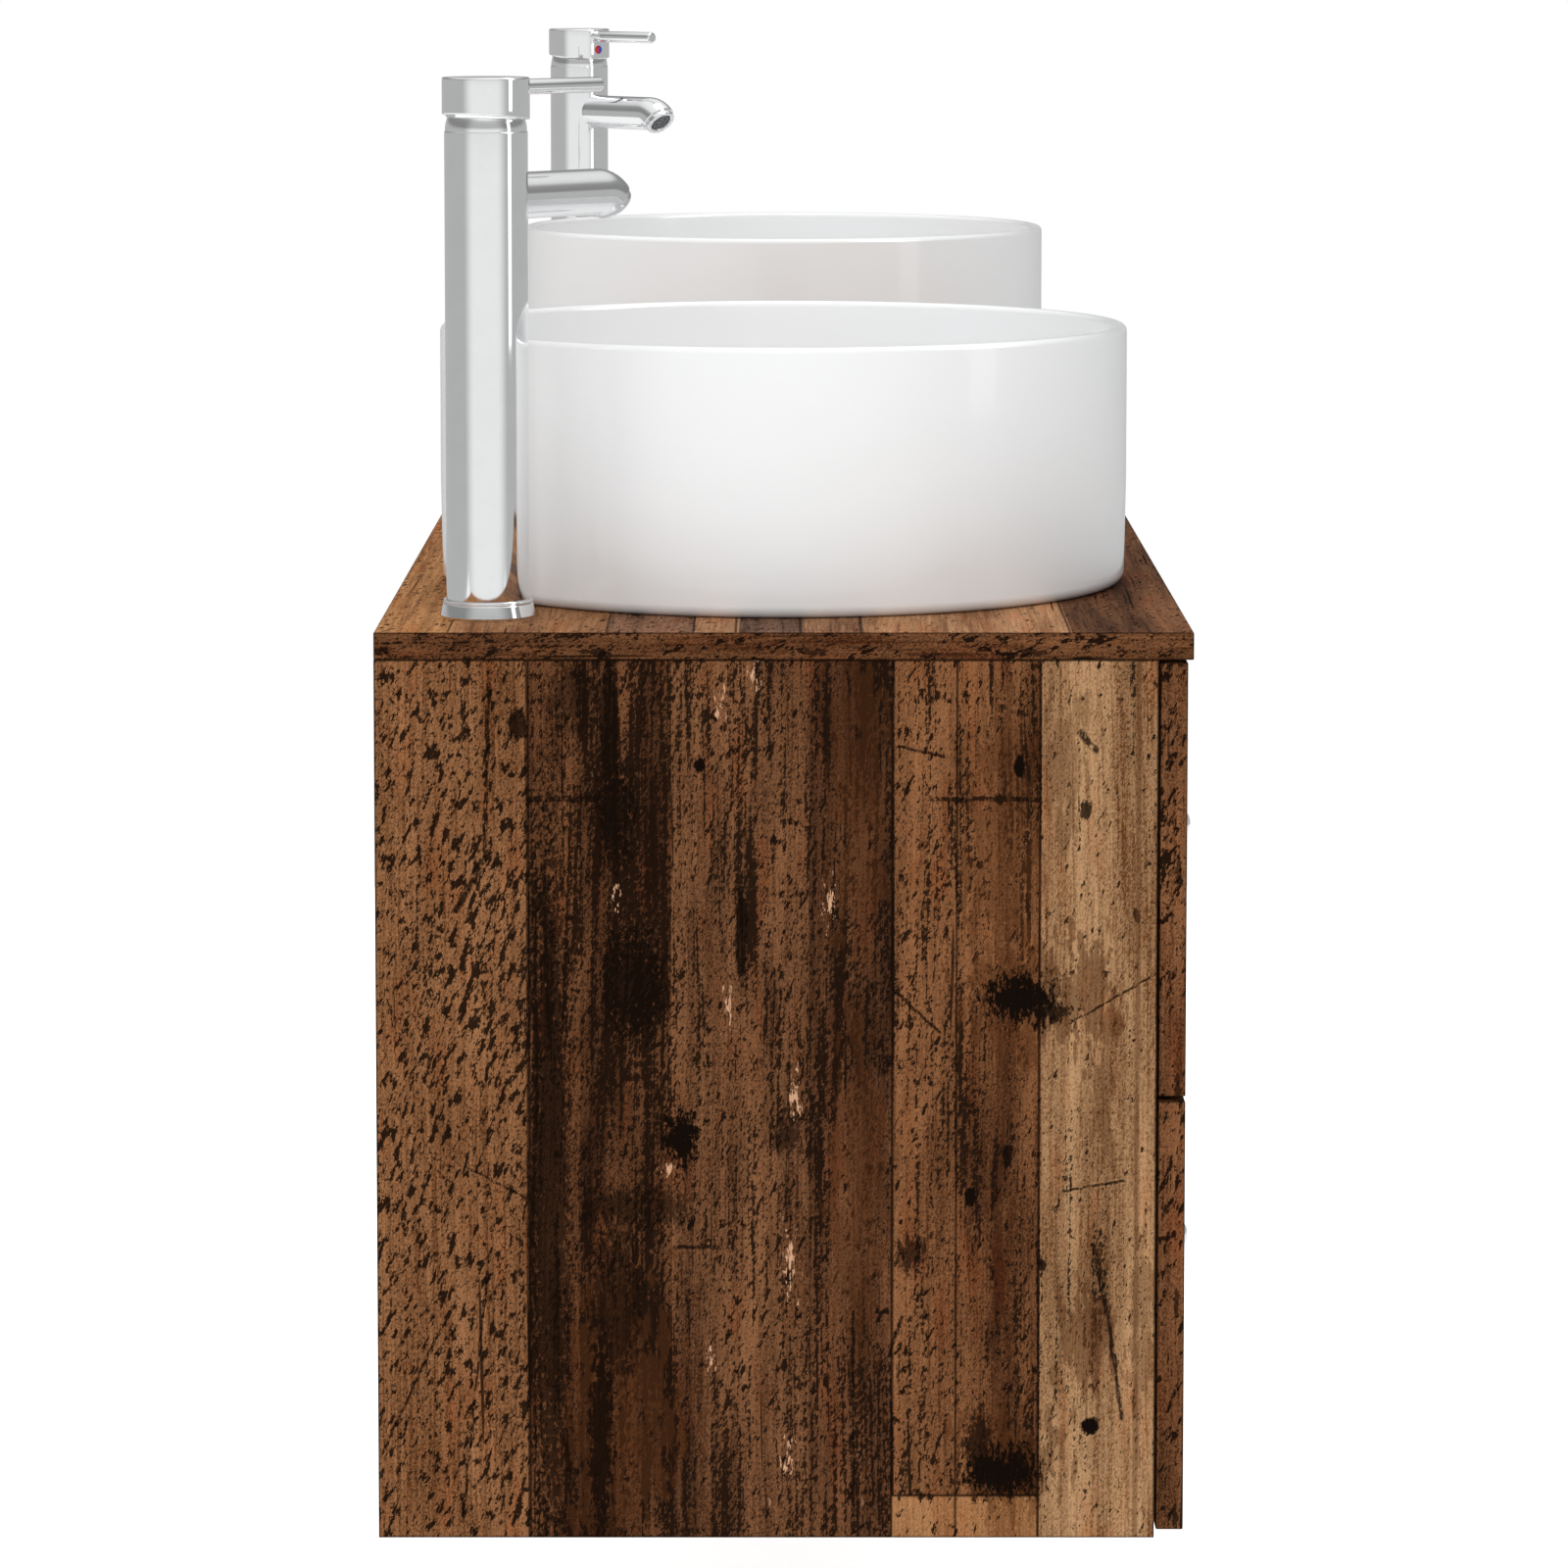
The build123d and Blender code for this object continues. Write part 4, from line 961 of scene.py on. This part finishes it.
def peg_wood():
    def fill(b, shader):
        place = object_place(b)
        grain = b.noise(b.stretch(place, 260.0, 260.0, 900.0), detail=3.0)
        b.feed(shader.inputs["Base Color"], b.mix(b.fade(grain, 0.35, 0.65), tone(176, 134, 88),
                                                  tone(214, 178, 132)))
        b.feed(shader.inputs["Roughness"], b.lerp(grain, 0.3, 0.7, 0.7, 0.55))
        raise_grain(b, shader, grain, 0.0002)

    return finish_of("Dowel beech", fill)


def screen_finish():
    """The aerator's screen: grey ribs in a honeycomb on a flat disc, with painted shade in the cells
    between them where the holes would be.
    """
    def fill(b, shader):
        place = object_place(b)
        cell = b.put("TexVoronoi", {"Vector": place, "Scale": 620.0, "Randomness": 0.25}, "Distance",
                     feature="DISTANCE_TO_EDGE")
        rib = b.fade(cell, 0.18, 0.08)
        # painted shade: the cells between the ribs are coloured near-black for the shade inside the
        # screen's holes
        b.feed(shader.inputs["Base Color"], b.mix(rib, tone(30, 31, 33), tone(120, 122, 126)))
        b.feed(shader.inputs["Roughness"], b.lerp(rib, 0.0, 1.0, 0.75, 0.4))
        raise_grain(b, shader, rib, 0.0004)

    return finish_of("Aerator screen", fill)


def mark_finish(side, centre, across):
    """The lever's round mark: warm on one half, cold on the other, under a clear gloss."""
    def fill(b, shader):
        away = object_place(b) - tuple(centre)
        share = b.vector("DOT_PRODUCT", away, tuple(across), out=1)
        dust = b.noise(b.stretch(away, 900.0, 900.0, 900.0), detail=2.0)
        warm = b.mix(b.fade(dust, 0.3, 0.8), tone(206, 26, 30), tone(190, 20, 26))
        cold = b.mix(b.fade(dust, 0.3, 0.8), tone(34, 70, 190), tone(28, 58, 168))
        b.feed(shader.inputs["Base Color"], b.mix(b.fade(share, -0.0002, 0.0002), warm, cold))
        b.feed(shader.inputs["Roughness"], b.lerp(dust, 0.3, 0.7, 0.18, 0.28))
        shader.inputs["Coat Weight"].default_value = 0.5

    return finish_of("Heat mark " + side, fill)


def nut_finish():
    return plated("Brass nuts", tone(201, 158, 84), 0.30, 0.22, relief=0.00003, shade=0.2)


def rubber():
    return plated("Seal rubber", tone(38, 38, 40), 0.62, 0.18, relief=0.00004, metallic=0.0,
                  specular=0.3, shade=0.2)


# ------------------------------------------------------------------ operators
class VANITY_OT_end_boards(bpy.types.Operator):
    """Finish the two end boards"""

    bl_idname = "vanity.end_boards"
    bl_label = "End boards"

    def execute(self, context):
        low, high = box_of("side_panel_right")
        far = wood("End board planks, far end", "x", ("y", "z", 2.3), ("x", "z", 4.4), ("x", "y", 6.1),
                   middle=(low[0] + high[0]) / 2, centre=tuple((low + high) / 2),
                   half=tuple((high - low) / 2))
        dress(end_wood(), "side_panel_left")
        dress(far, "side_panel_right")
        return {"FINISHED"}


class VANITY_OT_top_board(bpy.types.Operator):
    """Finish the slab that the basins stand on"""

    bl_idname = "vanity.top_board"
    bl_label = "Top board"

    def execute(self, context):
        middle = (SLAB_LOW + SLAB_HIGH) / 2
        material = wood("Top board planks", "z", ("z", "y", 8.35), ("z", "x", 9.2), ("y", "x", 1.7),
                        planks=TOP_PLANKS,
                        middle=middle[2], centre=tuple(middle), half=tuple((SLAB_HIGH - SLAB_LOW) / 2))
        dress(material, "top_panel")
        return {"FINISHED"}


class VANITY_OT_carcass(bpy.types.Operator):
    """Finish the dividers, the bottom and the back rails"""

    bl_idname = "vanity.carcass"
    bl_label = "Carcass"

    def execute(self, context):
        upright = wood("Divider planks", "x", ("y", "z", 3.1), ("x", "z", 5.2), ("x", "y", 7.3))
        level = wood("Bottom planks", "z", ("z", "y", 2.6), ("z", "x", 3.9), ("y", "x", 5.5),
                     middle=middle_of("bottom_panel")[2])
        back = wood("Rail planks", "y", ("y", "z", 2.1), ("z", "x", 3.3), ("y", "x", 5.9),
                    middle=middle_of("back_rails")[1])
        dress(upright, "divider_panels")
        dress(level, "bottom_panel")
        dress(back, "back_rails")
        return {"FINISHED"}


class VANITY_OT_fronts(bpy.types.Operator):
    """Finish the eight drawer fronts"""

    bl_idname = "vanity.fronts"
    bl_label = "Drawer fronts"

    def execute(self, context):
        upper_low, upper_high = box_of("drawer_front_upper_1")
        lower_low, lower_high = box_of("drawer_front_lower_1")
        split = (upper_low[2] + lower_high[2]) / 2
        upper_z = (upper_low[2] + upper_high[2]) / 2
        lower_z = (lower_low[2] + lower_high[2]) / 2
        middle_y = (upper_low[1] + upper_high[1]) / 2

        def from_middle(b, place):
            """Place from the middle of its own front: x wrapped at the drawer pitch, z by row."""
            x, y, z = b.split(place)
            x = b.math("WRAP", x, PITCH, 0.0) - PITCH / 2
            upper = b.math("GREATER_THAN", z, split)
            z = z - b.lerp(upper, 0.0, 1.0, float(lower_z), float(upper_z))
            return b.join(x, y - float(middle_y), z)

        def seed(b, place):
            """A different number for each front, so no two have the same planks."""
            x, _, z = b.split(place)
            column = b.math("FLOOR", x / PITCH)
            row = b.math("GREATER_THAN", z, split)
            return column * 1.37 + row * 6.1

        material = wood("Drawer front planks", "y", ("y", "z", 4.7), ("z", "x", 0.35), ("y", "x", 6.6),
                        middle=middle_y, centre=from_middle, half=tuple((upper_high - upper_low) / 2),
                        seed_of=seed)
        dress(material, *nodes_named("drawer_front_"))
        return {"FINISHED"}


class VANITY_OT_drawer_boxes(bpy.types.Operator):
    """Finish the drawer boxes, runners, dowels and cams"""

    bl_idname = "vanity.drawer_boxes"
    bl_label = "Drawer boxes and joinery"

    def execute(self, context):
        boards = wood("Drawer box planks", "z", ("z", "y", 1.2), ("z", "x", 2.7), ("x", "y", 3.6))
        dress(boards, *nodes_named("drawer_box_"))
        enamel = plated("Runner enamel", tone(228, 228, 226), 0.34, 0.16, relief=0.00002, metallic=0.0,
                        shade=0.06)
        dress(enamel, "drawer_runners")
        dress(peg_wood(), "carcass_dowels")
        zinc = plated("Cam zinc", tone(158, 160, 162), 0.42, 0.25, relief=0.00004, shade=0.2)
        dress(zinc, "cam_fittings")
        return {"FINISHED"}


KNOB_RISE = 0.007  # how far a knob's domed face stands over its rim


class VANITY_OT_knobs(bpy.types.Operator):
    """Turn the eight domed knobs"""

    bl_idname = "vanity.knobs"
    bl_label = "Knobs"

    def execute(self, context):
        material = plated("Knob chrome", tuple(context.scene.vanity_chrome.tint), 0.12, 0.12,
                          relief=0.000006, shade=0.06)
        for node in nodes_named("drawer_knob_"):
            tag = node[len("drawer_knob_"):]
            low, high = box_of(node)
            radius = (high[0] - low[0]) / 2
            face = box_of("drawer_front_" + tag)[0][1]
            reach = face - low[1]
            stud = high[1] - face
            head = reach - KNOB_RISE
            ball = (radius ** 2 + KNOB_RISE ** 2) / (2 * KNOB_RISE)
            swing = np.linspace(math.asin(radius / ball), 0.0, 20)[1:]
            dome = np.stack([ball * np.sin(swing), reach - ball + ball * np.cos(swing)], -1)
            neck = eased([
                (0.0, -stud, 0), (0.002, -stud, 0.0004), (0.002, 0.0, 0.0), (0.007, 0.0, 0.0002),
                (0.007, 0.0016, 0.0006), (0.005, 0.0022, 0.0005), (0.0046, head - 0.0030, 0.0016),
                (radius - 0.0010, head - 0.0008, 0.0007), (radius, head, 0.0)], closed=False)
            profile = np.vstack([neck, dome])
            piece = turned("knob_" + tag, profile, (middle_of(node)[0], face, middle_of(node)[2]),
                           up=(0, -1, 0), steps=64)
            fit(piece, body_of(node), material, "knob_metal", node)
        return {"FINISHED"}


class VANITY_OT_basins(bpy.types.Operator):
    """Throw the two round basins"""

    bl_idname = "vanity.basins"
    bl_label = "Basins"

    def execute(self, context):
        settings = context.scene.vanity_ceramic
        for side in SIDES:
            node = "basin_" + side
            low, high = box_of(node)
            radius = (high[0] - low[0]) / 2
            height = high[2] - low[2]
            inner = radius - settings.wall
            outline = eased([
                (0.0225, 0.0, 0.0010), (radius - 0.0012, 0.0, 0.0070), (radius, 0.060, 0.0),
                (radius, height, 0.0039), (inner, height, 0.0039), (inner, 0.017, 0.0220),
                (0.110, 0.0146, 0.0600), (0.0335, 0.0125, 0.0012), (0.0330, 0.0100, 0.0003),
                (0.0225, 0.0100, 0.0006)], steps=10)
            foot = ((low[0] + high[0]) / 2, (low[1] + high[1]) / 2, low[2])
            piece = turned(node + "_thrown", outline, foot, steps=settings.facets, solid=False)
            fit(piece, "vanity", glaze(), "ceramic", node)
        return {"FINISHED"}


class VANITY_OT_wastes(bpy.types.Operator):
    """Turn the wastes and their lift-up plugs"""

    bl_idname = "vanity.wastes"
    bl_label = "Wastes and plugs"

    def execute(self, context):
        material = chrome("Waste chrome")
        end = box_of("waste_bodies")[0][2] - DECK
        parts = []
        for side in SIDES:
            centre = middle_of("basin_" + side)
            foot = (centre[0], centre[1], DECK)
            outline = eased([
                (0.0170, 0.0125, 0.0008), (0.0170, -0.0320, 0.0), (0.0135, -0.0320, 0.0),
                (0.0135, end, 0.0005), (0.0160, end, 0.0007), (0.0160, -0.0350, 0.0004),
                (0.02095, -0.0350, 0.0006), (0.02095, 0.0100, 0.0), (0.0320, 0.0100, 0.0002),
                (0.0320, 0.0125, 0.0012)], steps=6)
            parts.append(turned("waste_" + side, outline, foot, steps=96, solid=False))
            plug_low, plug_high = box_of("waste_plug_" + side)
            top = plug_high[2] - DECK
            stem = plug_low[2] - DECK
            plug = eased([
                (0.0, stem, 0), (0.0040, stem, 0.0006), (0.0040, top - 0.0050, 0.0012),
                (0.0300, top - 0.0050, 0.0005), (0.0300, top - 0.0014, 0.0010),
                (0.0170, top - 0.0003, 0.0400), (0.0, top, 0)], steps=6, closed=False)
            piece = turned("plug_" + side, plug, foot, steps=96)
            fit(piece, "plug_" + side, material, "waste_chrome", "waste_plug_" + side)
        wastes = joined("wastes", parts)
        fit(wastes, "vanity", material, "waste_chrome", "waste_bodies")
        dress(nut_finish(), "deck_nuts")
        dress(rubber(), "deck_gaskets")
        return {"FINISHED"}


def mixer_frame(side):
    """A mixer's foot on the deck, the way its spout points, and the way across it."""
    low, high = box_of("mixer_column_" + side)
    foot = np.array(((low[0] + high[0]) / 2, (low[1] + high[1]) / 2, DECK))
    basin = middle_of("basin_" + side)
    out = np.array((basin[0] - foot[0], basin[1] - foot[1], 0.0))
    out = out / np.linalg.norm(out)
    return foot, out, np.cross(UP, out)


# Pieces that stand for both mixers' parts at once, and the frame nodes that they replace.
MIXER_PARTS = {"base_rings": "mixer_base_rings", "domes": "mixer_domes", "spouts": "mixer_spouts",
               "aerator_rings": "aerators", "aerator_meshes": "aerator_screens"}
DOME_RADIUS = 0.0226
DOME_WALL = 0.0025


class VANITY_OT_mixers(bpy.types.Operator):
    """Turn and bend the two tall mixers"""

    bl_idname = "vanity.mixers"
    bl_label = "Mixers"

    def execute(self, context):
        material = chrome()
        steps = context.scene.vanity_chrome.facets
        joints = {title: [] for title in MIXER_PARTS}
        for side in SIDES:
            foot, out, across = mixer_frame(side)
            low, high = box_of("mixer_column_" + side)
            radius = (high[0] - low[0]) / 2
            seam = high[2] - DECK
            column = eased([(0.0, 0.0, 0), (radius, 0.0, 0.0003), (radius, seam, 0.0006), (0.0, seam, 0)],
                           closed=False)
            piece = turned("column_" + side, column, foot, lean=out, steps=steps)
            fit(piece, "vanity", material, "mixer_chrome", "mixer_column_" + side)

            hole = radius + 0.00015
            ring = eased([
                (hole, 0.0, 0.0), (0.0265, 0.0, 0.0002), (0.0265, 0.0015, 0.0004), (0.0249, 0.0078, 0.0003),
                (0.0242, 0.0079, 0.0001), (0.0242, 0.0085, 0.0001), (0.0248, 0.0086, 0.0003),
                (0.0246, 0.0100, 0.0004), (hole, 0.0100, 0.0001)])
            joints["base_rings"].append(turned("ring_" + side, ring, foot, steps=steps, solid=False))

            swing = np.radians(np.linspace(90.0, 42.0, 24))
            way = np.stack([np.sin(swing), np.cos(swing)], -1)
            shell = np.vstack([DOME_RADIUS * way, ((DOME_RADIUS - DOME_WALL) * way)[::-1]]) + (0.0, seam)
            joints["domes"].append(turned("dome_" + side, shell, foot, steps=steps, solid=False))

            joints["spouts"].append(bent_spout("spout_" + side, foot, out, across, steps))
            mouth, down = spout_mouth(foot, out)
            nozzle = eased([
                (0.0082, -0.0018, 0.0), (0.0088, -0.0018, 0.0), (0.0088, 0.0, 0.0), (0.0118, 0.0, 0.0004),
                (0.0118, 0.0040, 0.0009), (0.0092, 0.0040, 0.0004), (0.0086, 0.0034, 0.0003),
                (0.0082, 0.0030, 0.0002)])
            joints["aerator_rings"].append(
                turned("aerator_" + side, nozzle, mouth, up=down, lean=across, steps=72, solid=False))
            mesh_disc = eased([(0.0, 0.0015, 0), (0.0081, 0.0015, 0.0002), (0.0081, 0.0028, 0.0003),
                               (0.0, 0.0031, 0)], closed=False)
            joints["aerator_meshes"].append(
                turned("screen_" + side, mesh_disc, mouth, up=down, lean=across, steps=72))
        for title, node in MIXER_PARTS.items():
            piece = joined(title, joints[title])
            if title == "aerator_meshes":
                fit(piece, "vanity", screen_finish(), "screen_plastic", node)
            else:
                fit(piece, "vanity", material, "mixer_chrome", node)
        brass = plated("Shank brass", tone(196, 156, 92), 0.28, 0.2, relief=0.00002, shade=0.18)
        body = plated("Cartridge plastic", tone(226, 226, 222), 0.4, 0.16, relief=0.00003, metallic=0.0,
                      shade=0.08)
        steel = plated("Stem steel", tone(188, 188, 190), 0.26, 0.2, relief=0.00002, shade=0.12)
        dress(brass, "mixer_shanks")
        finishes = {"brass": brass, "cartridge_plastic": body, "stem_steel": steel}
        for node in frame["record"]["subparts"]:
            if node["material_slot"] in finishes:
                dress(finishes[node["material_slot"]], node["node"])
        return {"FINISHED"}


SPOUT_HEIGHT = 0.232
SPOUT_STRAIGHT = 0.088
SPOUT_BEND = 0.016
SPOUT_ANGLE = math.radians(45)
SPOUT_ROOT = 0.0183  # where the tube starts, from the column's axis
SPOUT_RINGS = 40


def spout_mouth(foot, out):
    """The middle of the spout's outlet and the way the water leaves it."""
    reach = SPOUT_STRAIGHT + SPOUT_BEND * math.sin(SPOUT_ANGLE)
    height = SPOUT_HEIGHT - SPOUT_BEND * (1 - math.cos(SPOUT_ANGLE))
    down = out * math.cos(SPOUT_ANGLE) - UP * math.sin(SPOUT_ANGLE)
    return foot + out * reach + UP * height, down


def bent_spout(name, foot, out, across, steps):
    """A tube's outline of (distance, radius) carried along the spout.

    Up to the bend the axis is foot + s out. From there, at angle a = (s - straight) / bend radius, it is
    at straight + R sin a outwards and R (1 - cos a) down, and rings stand square to it.
    """
    end = SPOUT_STRAIGHT + SPOUT_BEND * SPOUT_ANGLE
    lip = eased([(SPOUT_ROOT, 0.0090, 0.0), (SPOUT_ROOT, 0.0130, 0.0), (end, 0.0130, 0.0007),
                 (end, 0.0090, 0.0004)])
    along = np.linspace(0.0, 1.0, SPOUT_RINGS)[:, None]
    outer = lip[1] + (lip[2] - lip[1]) * along
    inner = lip[-1] + (lip[0] - lip[-1]) * along
    outline = np.vstack([outer, lip[3:-1], inner])
    distance, radius = outline[:, 0], outline[:, 1]
    bend = np.clip((distance - SPOUT_STRAIGHT) / SPOUT_BEND, 0.0, None)
    reach = np.minimum(distance, SPOUT_STRAIGHT) + SPOUT_BEND * np.sin(bend)
    height = SPOUT_HEIGHT - SPOUT_BEND * (1 - np.cos(bend))
    axis = foot + reach[:, None] * out + height[:, None] * UP
    upright = np.sin(bend)[:, None] * out + np.cos(bend)[:, None] * UP
    angle = np.arange(steps) * 2 * math.pi / steps
    spokes = np.cos(angle)[None, :, None] * across + np.sin(angle)[None, :, None] * upright[:, None, :]
    return skin(name, axis[:, None, :] + radius[:, None, None] * spokes)


CAP_SLANT = 0.004  # how much higher the cap's lower rim is at the back
CAP_HOLLOW = 0.0230  # radius of the cap's ball-shaped hollow over the dome
ROD_TIP = 0.091


class VANITY_OT_levers(bpy.types.Operator):
    """Turn the lever caps and rods, and set their heat marks"""

    bl_idname = "vanity.levers"
    bl_label = "Levers"

    def execute(self, context):
        material = chrome()
        steps = context.scene.vanity_chrome.facets
        for side in SIDES:
            foot, out, across = mixer_frame(side)
            cap_low, cap_high = box_of("lever_cap_" + side)
            seam = box_of("mixer_column_" + side)[1][2] - DECK
            top = cap_high[2] - DECK
            front = cap_low[2] - DECK
            radius = (cap_high[1] - cap_low[1]) / 2
            back = front + CAP_SLANT
            hollow = np.linspace(math.asin(0.0065 / CAP_HOLLOW), math.radians(72), 18)
            inside = np.stack([CAP_HOLLOW * np.sin(hollow), seam + CAP_HOLLOW * np.cos(hollow)], -1)
            edge = (back + front) / 2
            rim = eased([(0.0232, edge + 0.004, 0.0), (0.0232, edge, 0.0003), (radius, edge, 0.0008),
                         (radius, edge + 0.006, 0.0)], closed=False)
            crown = eased([(radius, edge + 0.006, 0.0), (radius, top, 0.0011), (0.0, top, 0.0)],
                          closed=False)[1:]
            boss = np.array([(0.0, seam + 0.0125), (0.0060, seam + 0.0125), (0.0065, seam + 0.0130)])
            profile = np.vstack([boss, inside, rim, crown])
            tilt = (front - back) / (2 * radius)
            slant = np.concatenate([np.zeros(len(boss) + len(inside)), np.full(len(rim), tilt),
                                    np.zeros(len(crown))])
            slant[len(boss) + len(inside) - 1] = tilt * 0.5
            cap = turned("cap_" + side, profile, foot, lean=out, steps=steps, slant=slant)
            fit(cap, "lever_" + side, material, "mixer_chrome", "lever_cap_" + side)

            rod_low, rod_high = box_of("lever_rod_" + side)
            rod_z = (rod_low[2] + rod_high[2]) / 2
            rod = eased([(0.0, 0.0153, 0), (0.0044, 0.0153, 0.0002), (0.0044, ROD_TIP, 0.0014),
                         (0.0, ROD_TIP, 0)], closed=False)
            start = np.array((foot[0], foot[1], rod_z))
            piece = turned("rod_" + side, rod, start, up=out, lean=UP, steps=64)
            fit(piece, "lever_" + side, material, "mixer_chrome", "lever_rod_" + side)

            mark = middle_of("heat_mark_" + side)
            face = radius - 0.0011
            dot = eased([(0.0, face, 0), (0.0034, face, 0.0), (0.0034, radius + 0.0003, 0.0002),
                         (0.0018, radius + 0.0005, 0.003), (0.0, radius + 0.0005, 0)], closed=False)
            start = np.array((foot[0], foot[1], mark[2]))
            piece = turned("mark_" + side, dot, start, up=out, lean=UP, steps=48)
            centre = start + out * radius
            fit(piece, "lever_" + side, mark_finish(side, centre, across), "heat_mark",
                "heat_mark_" + side)
        return {"FINISHED"}


FLOOR_HALF = 3.2
FLOOR_LINES = 15
# Lamps: name, place, width, height, power beside the key setting, seen in polish, seen by matt faces.
LAMPS = (
    ("key", (-4.4, -0.6, 1.6), 2.0, 2.0, 2.9, False, True),
    ("front", (-2.1, -4.1, 1.2), 0.8, 2.2, 0.42, True, True),
    ("rim", (-0.95, -2.3, 2.5), 0.9, 2.2, 3.6, True, False),
    ("top", (0.3, -0.6, 3.6), 2.4, 2.4, 0.9, True, True),
    ("fill", (-1.3, 3.9, 1.3), 2.4, 2.4, 2.4, False, True),
)
# The camera's place from the slab's near end, from its middle depth and over the deck.
CAMERA_AWAY = (-3.0544, 0.0019, 0.3812)


class VANITY_OT_stage(bpy.types.Operator):
    """Set the floor, the lights and the camera"""

    bl_idname = "vanity.stage"
    bl_label = "Floor, lights and camera"

    def execute(self, context):
        settings = context.scene.vanity_studio
        scene = context.scene
        scene.view_settings.view_transform = "Standard"
        level = CAD_LOW[2] - settings.floor_drop
        grid = np.linspace(-FLOOR_HALF, FLOOR_HALF, FLOOR_LINES)
        x, y = np.meshgrid(grid, grid, indexing="ij")
        points = np.stack([x, y, np.full_like(x, level)], -1).reshape(-1, 3)
        i, j = np.meshgrid(np.arange(FLOOR_LINES - 1), np.arange(FLOOR_LINES - 1), indexing="ij")
        corner = (i * FLOOR_LINES + j).ravel()
        faces = np.stack([corner, corner + FLOOR_LINES, corner + FLOOR_LINES + 1, corner + 1], -1)
        mesh = bpy.data.meshes.new("floor")
        mesh.from_pydata(points.tolist(), [], faces.tolist())
        mesh.update()
        floor = bpy.data.objects.new("floor", mesh)
        scene.collection.objects.link(floor)

        def pale(b, shader):
            grain = b.noise(b.stretch(object_place(b), 30.0, 30.0), detail=4.0)
            b.feed(shader.inputs["Base Color"], b.mix(grain, (0.74, 0.74, 0.74), (0.77, 0.77, 0.77)))
            b.feed(shader.inputs["Roughness"], b.lerp(grain, 0.3, 0.7, 0.8, 0.9))
            shader.inputs["Specular IOR Level"].default_value = 0.1
            shader.inputs["Emission Color"].default_value = (1.0, 1.0, 1.0, 1.0)
            seen = b.put("LightPath", out=0)
            b.feed(shader.inputs["Emission Strength"], b.lerp(seen, 0.0, 1.0, 0.2, 0.68))

        mesh.materials.append(finish_of("Pale floor", pale))
        floor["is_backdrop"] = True

        world = bpy.data.worlds.new("Soft studio")
        world.use_nodes = True
        scene.world = world
        tree = world.node_tree
        b = Bench(tree)
        room = tree.nodes["Background"]
        x, _, z = b.split(b.put("TexCoord", out=0))
        behind = b.fade(-x, 0.45, 0.86, 0.0, 0.44)
        above = b.fade(z, 0.25, 0.9)
        soft = above * 1.12 + behind + settings.sky * 0.40
        dim_ring = b.fade(z, 0.06, 0.20) * b.fade(z, 0.62, 0.45)
        mirrored = above * 0.5 + behind + settings.sky
        mirrored = mirrored * b.lerp(dim_ring, 0.0, 1.0, 1.0, 0.55)
        shown = b.put("LightPath", out=0)
        glossy = b.put("LightPath", out=3)
        strength = b.put("Mix", {0: glossy, 2: soft, 3: mirrored}, 0)
        strength = b.put("Mix", {0: shown, 2: strength, 3: 1.0}, 0)
        b.feed(room.inputs["Strength"], strength)
        room.inputs["Color"].default_value = (1.0, 1.0, 1.0, 1.0)

        middle = (CAD_LOW + CAD_HIGH) / 2
        for title, spot, width, height, power, mirrored_too, soft_too in LAMPS:
            light = bpy.data.lights.new(title, "AREA")
            light.shape = "RECTANGLE"
            light.size = width
            light.size_y = height
            light.energy = power * settings.key
            lamp = bpy.data.objects.new(title, light)
            lamp.location = spot
            towards = Vector(middle) - lamp.location
            lamp.rotation_euler = towards.to_track_quat("-Z", "Y").to_euler()
            lamp.visible_camera = False
            lamp.visible_glossy = mirrored_too
            lamp.visible_diffuse = soft_too
            scene.collection.objects.link(lamp)

        lens = bpy.data.cameras.new("camera")
        lens.lens = settings.lens
        lens.sensor_width = 36.0
        lens.shift_x = 0.0024
        lens.shift_y = settings.shift
        lens.clip_end = 100.0
        camera = bpy.data.objects.new("camera", lens)
        camera.location = (SLAB_LOW[0] + CAMERA_AWAY[0], (SLAB_LOW[1] + SLAB_HIGH[1]) / 2 + CAMERA_AWAY[1],
                           DECK + CAMERA_AWAY[2])
        camera.rotation_euler = (math.radians(90.0 - settings.tilt), 0.0, math.radians(-90.0))
        scene.collection.objects.link(camera)
        scene.camera = camera
        return {"FINISHED"}


class VANITY_PT_sidebar(bpy.types.Panel):
    """Sizes, colours and steps of the vanity"""

    bl_idname = "VANITY_PT_sidebar"
    bl_label = "Vanity"
    bl_space_type = "VIEW_3D"
    bl_region_type = "UI"
    bl_category = "Vanity"

    def draw(self, context):
        layout = self.layout
        for name, group in SETTINGS.items():
            box = layout.box()
            box.label(text=group.__doc__)
            for title in group.__annotations__:
                box.prop(getattr(context.scene, name), title)
        for step in STEPS:
            layout.operator(step.bl_idname)


SETTINGS = {"vanity_wood": VanityWood, "vanity_chrome": VanityChrome, "vanity_ceramic": VanityCeramic,
            "vanity_studio": VanityStudio}
STEPS = (VANITY_OT_end_boards, VANITY_OT_top_board, VANITY_OT_carcass, VANITY_OT_fronts,
         VANITY_OT_drawer_boxes, VANITY_OT_knobs, VANITY_OT_basins, VANITY_OT_wastes, VANITY_OT_mixers,
         VANITY_OT_levers, VANITY_OT_stage)


def register():
    for name, group in SETTINGS.items():
        bpy.utils.register_class(group)
        setattr(bpy.types.Scene, name, PointerProperty(type=group))
    for step in STEPS:
        bpy.utils.register_class(step)
    bpy.utils.register_class(VANITY_PT_sidebar)


def unregister():
    bpy.utils.unregister_class(VANITY_PT_sidebar)
    for step in reversed(STEPS):
        bpy.utils.unregister_class(step)
    for name, group in reversed(SETTINGS.items()):
        delattr(bpy.types.Scene, name)
        bpy.utils.unregister_class(group)


def main():
    register()
    for step in STEPS:
        name = step.bl_idname.split(".")[1]
        getattr(bpy.ops.vanity, name)()


if __name__ == "__main__":
    main()
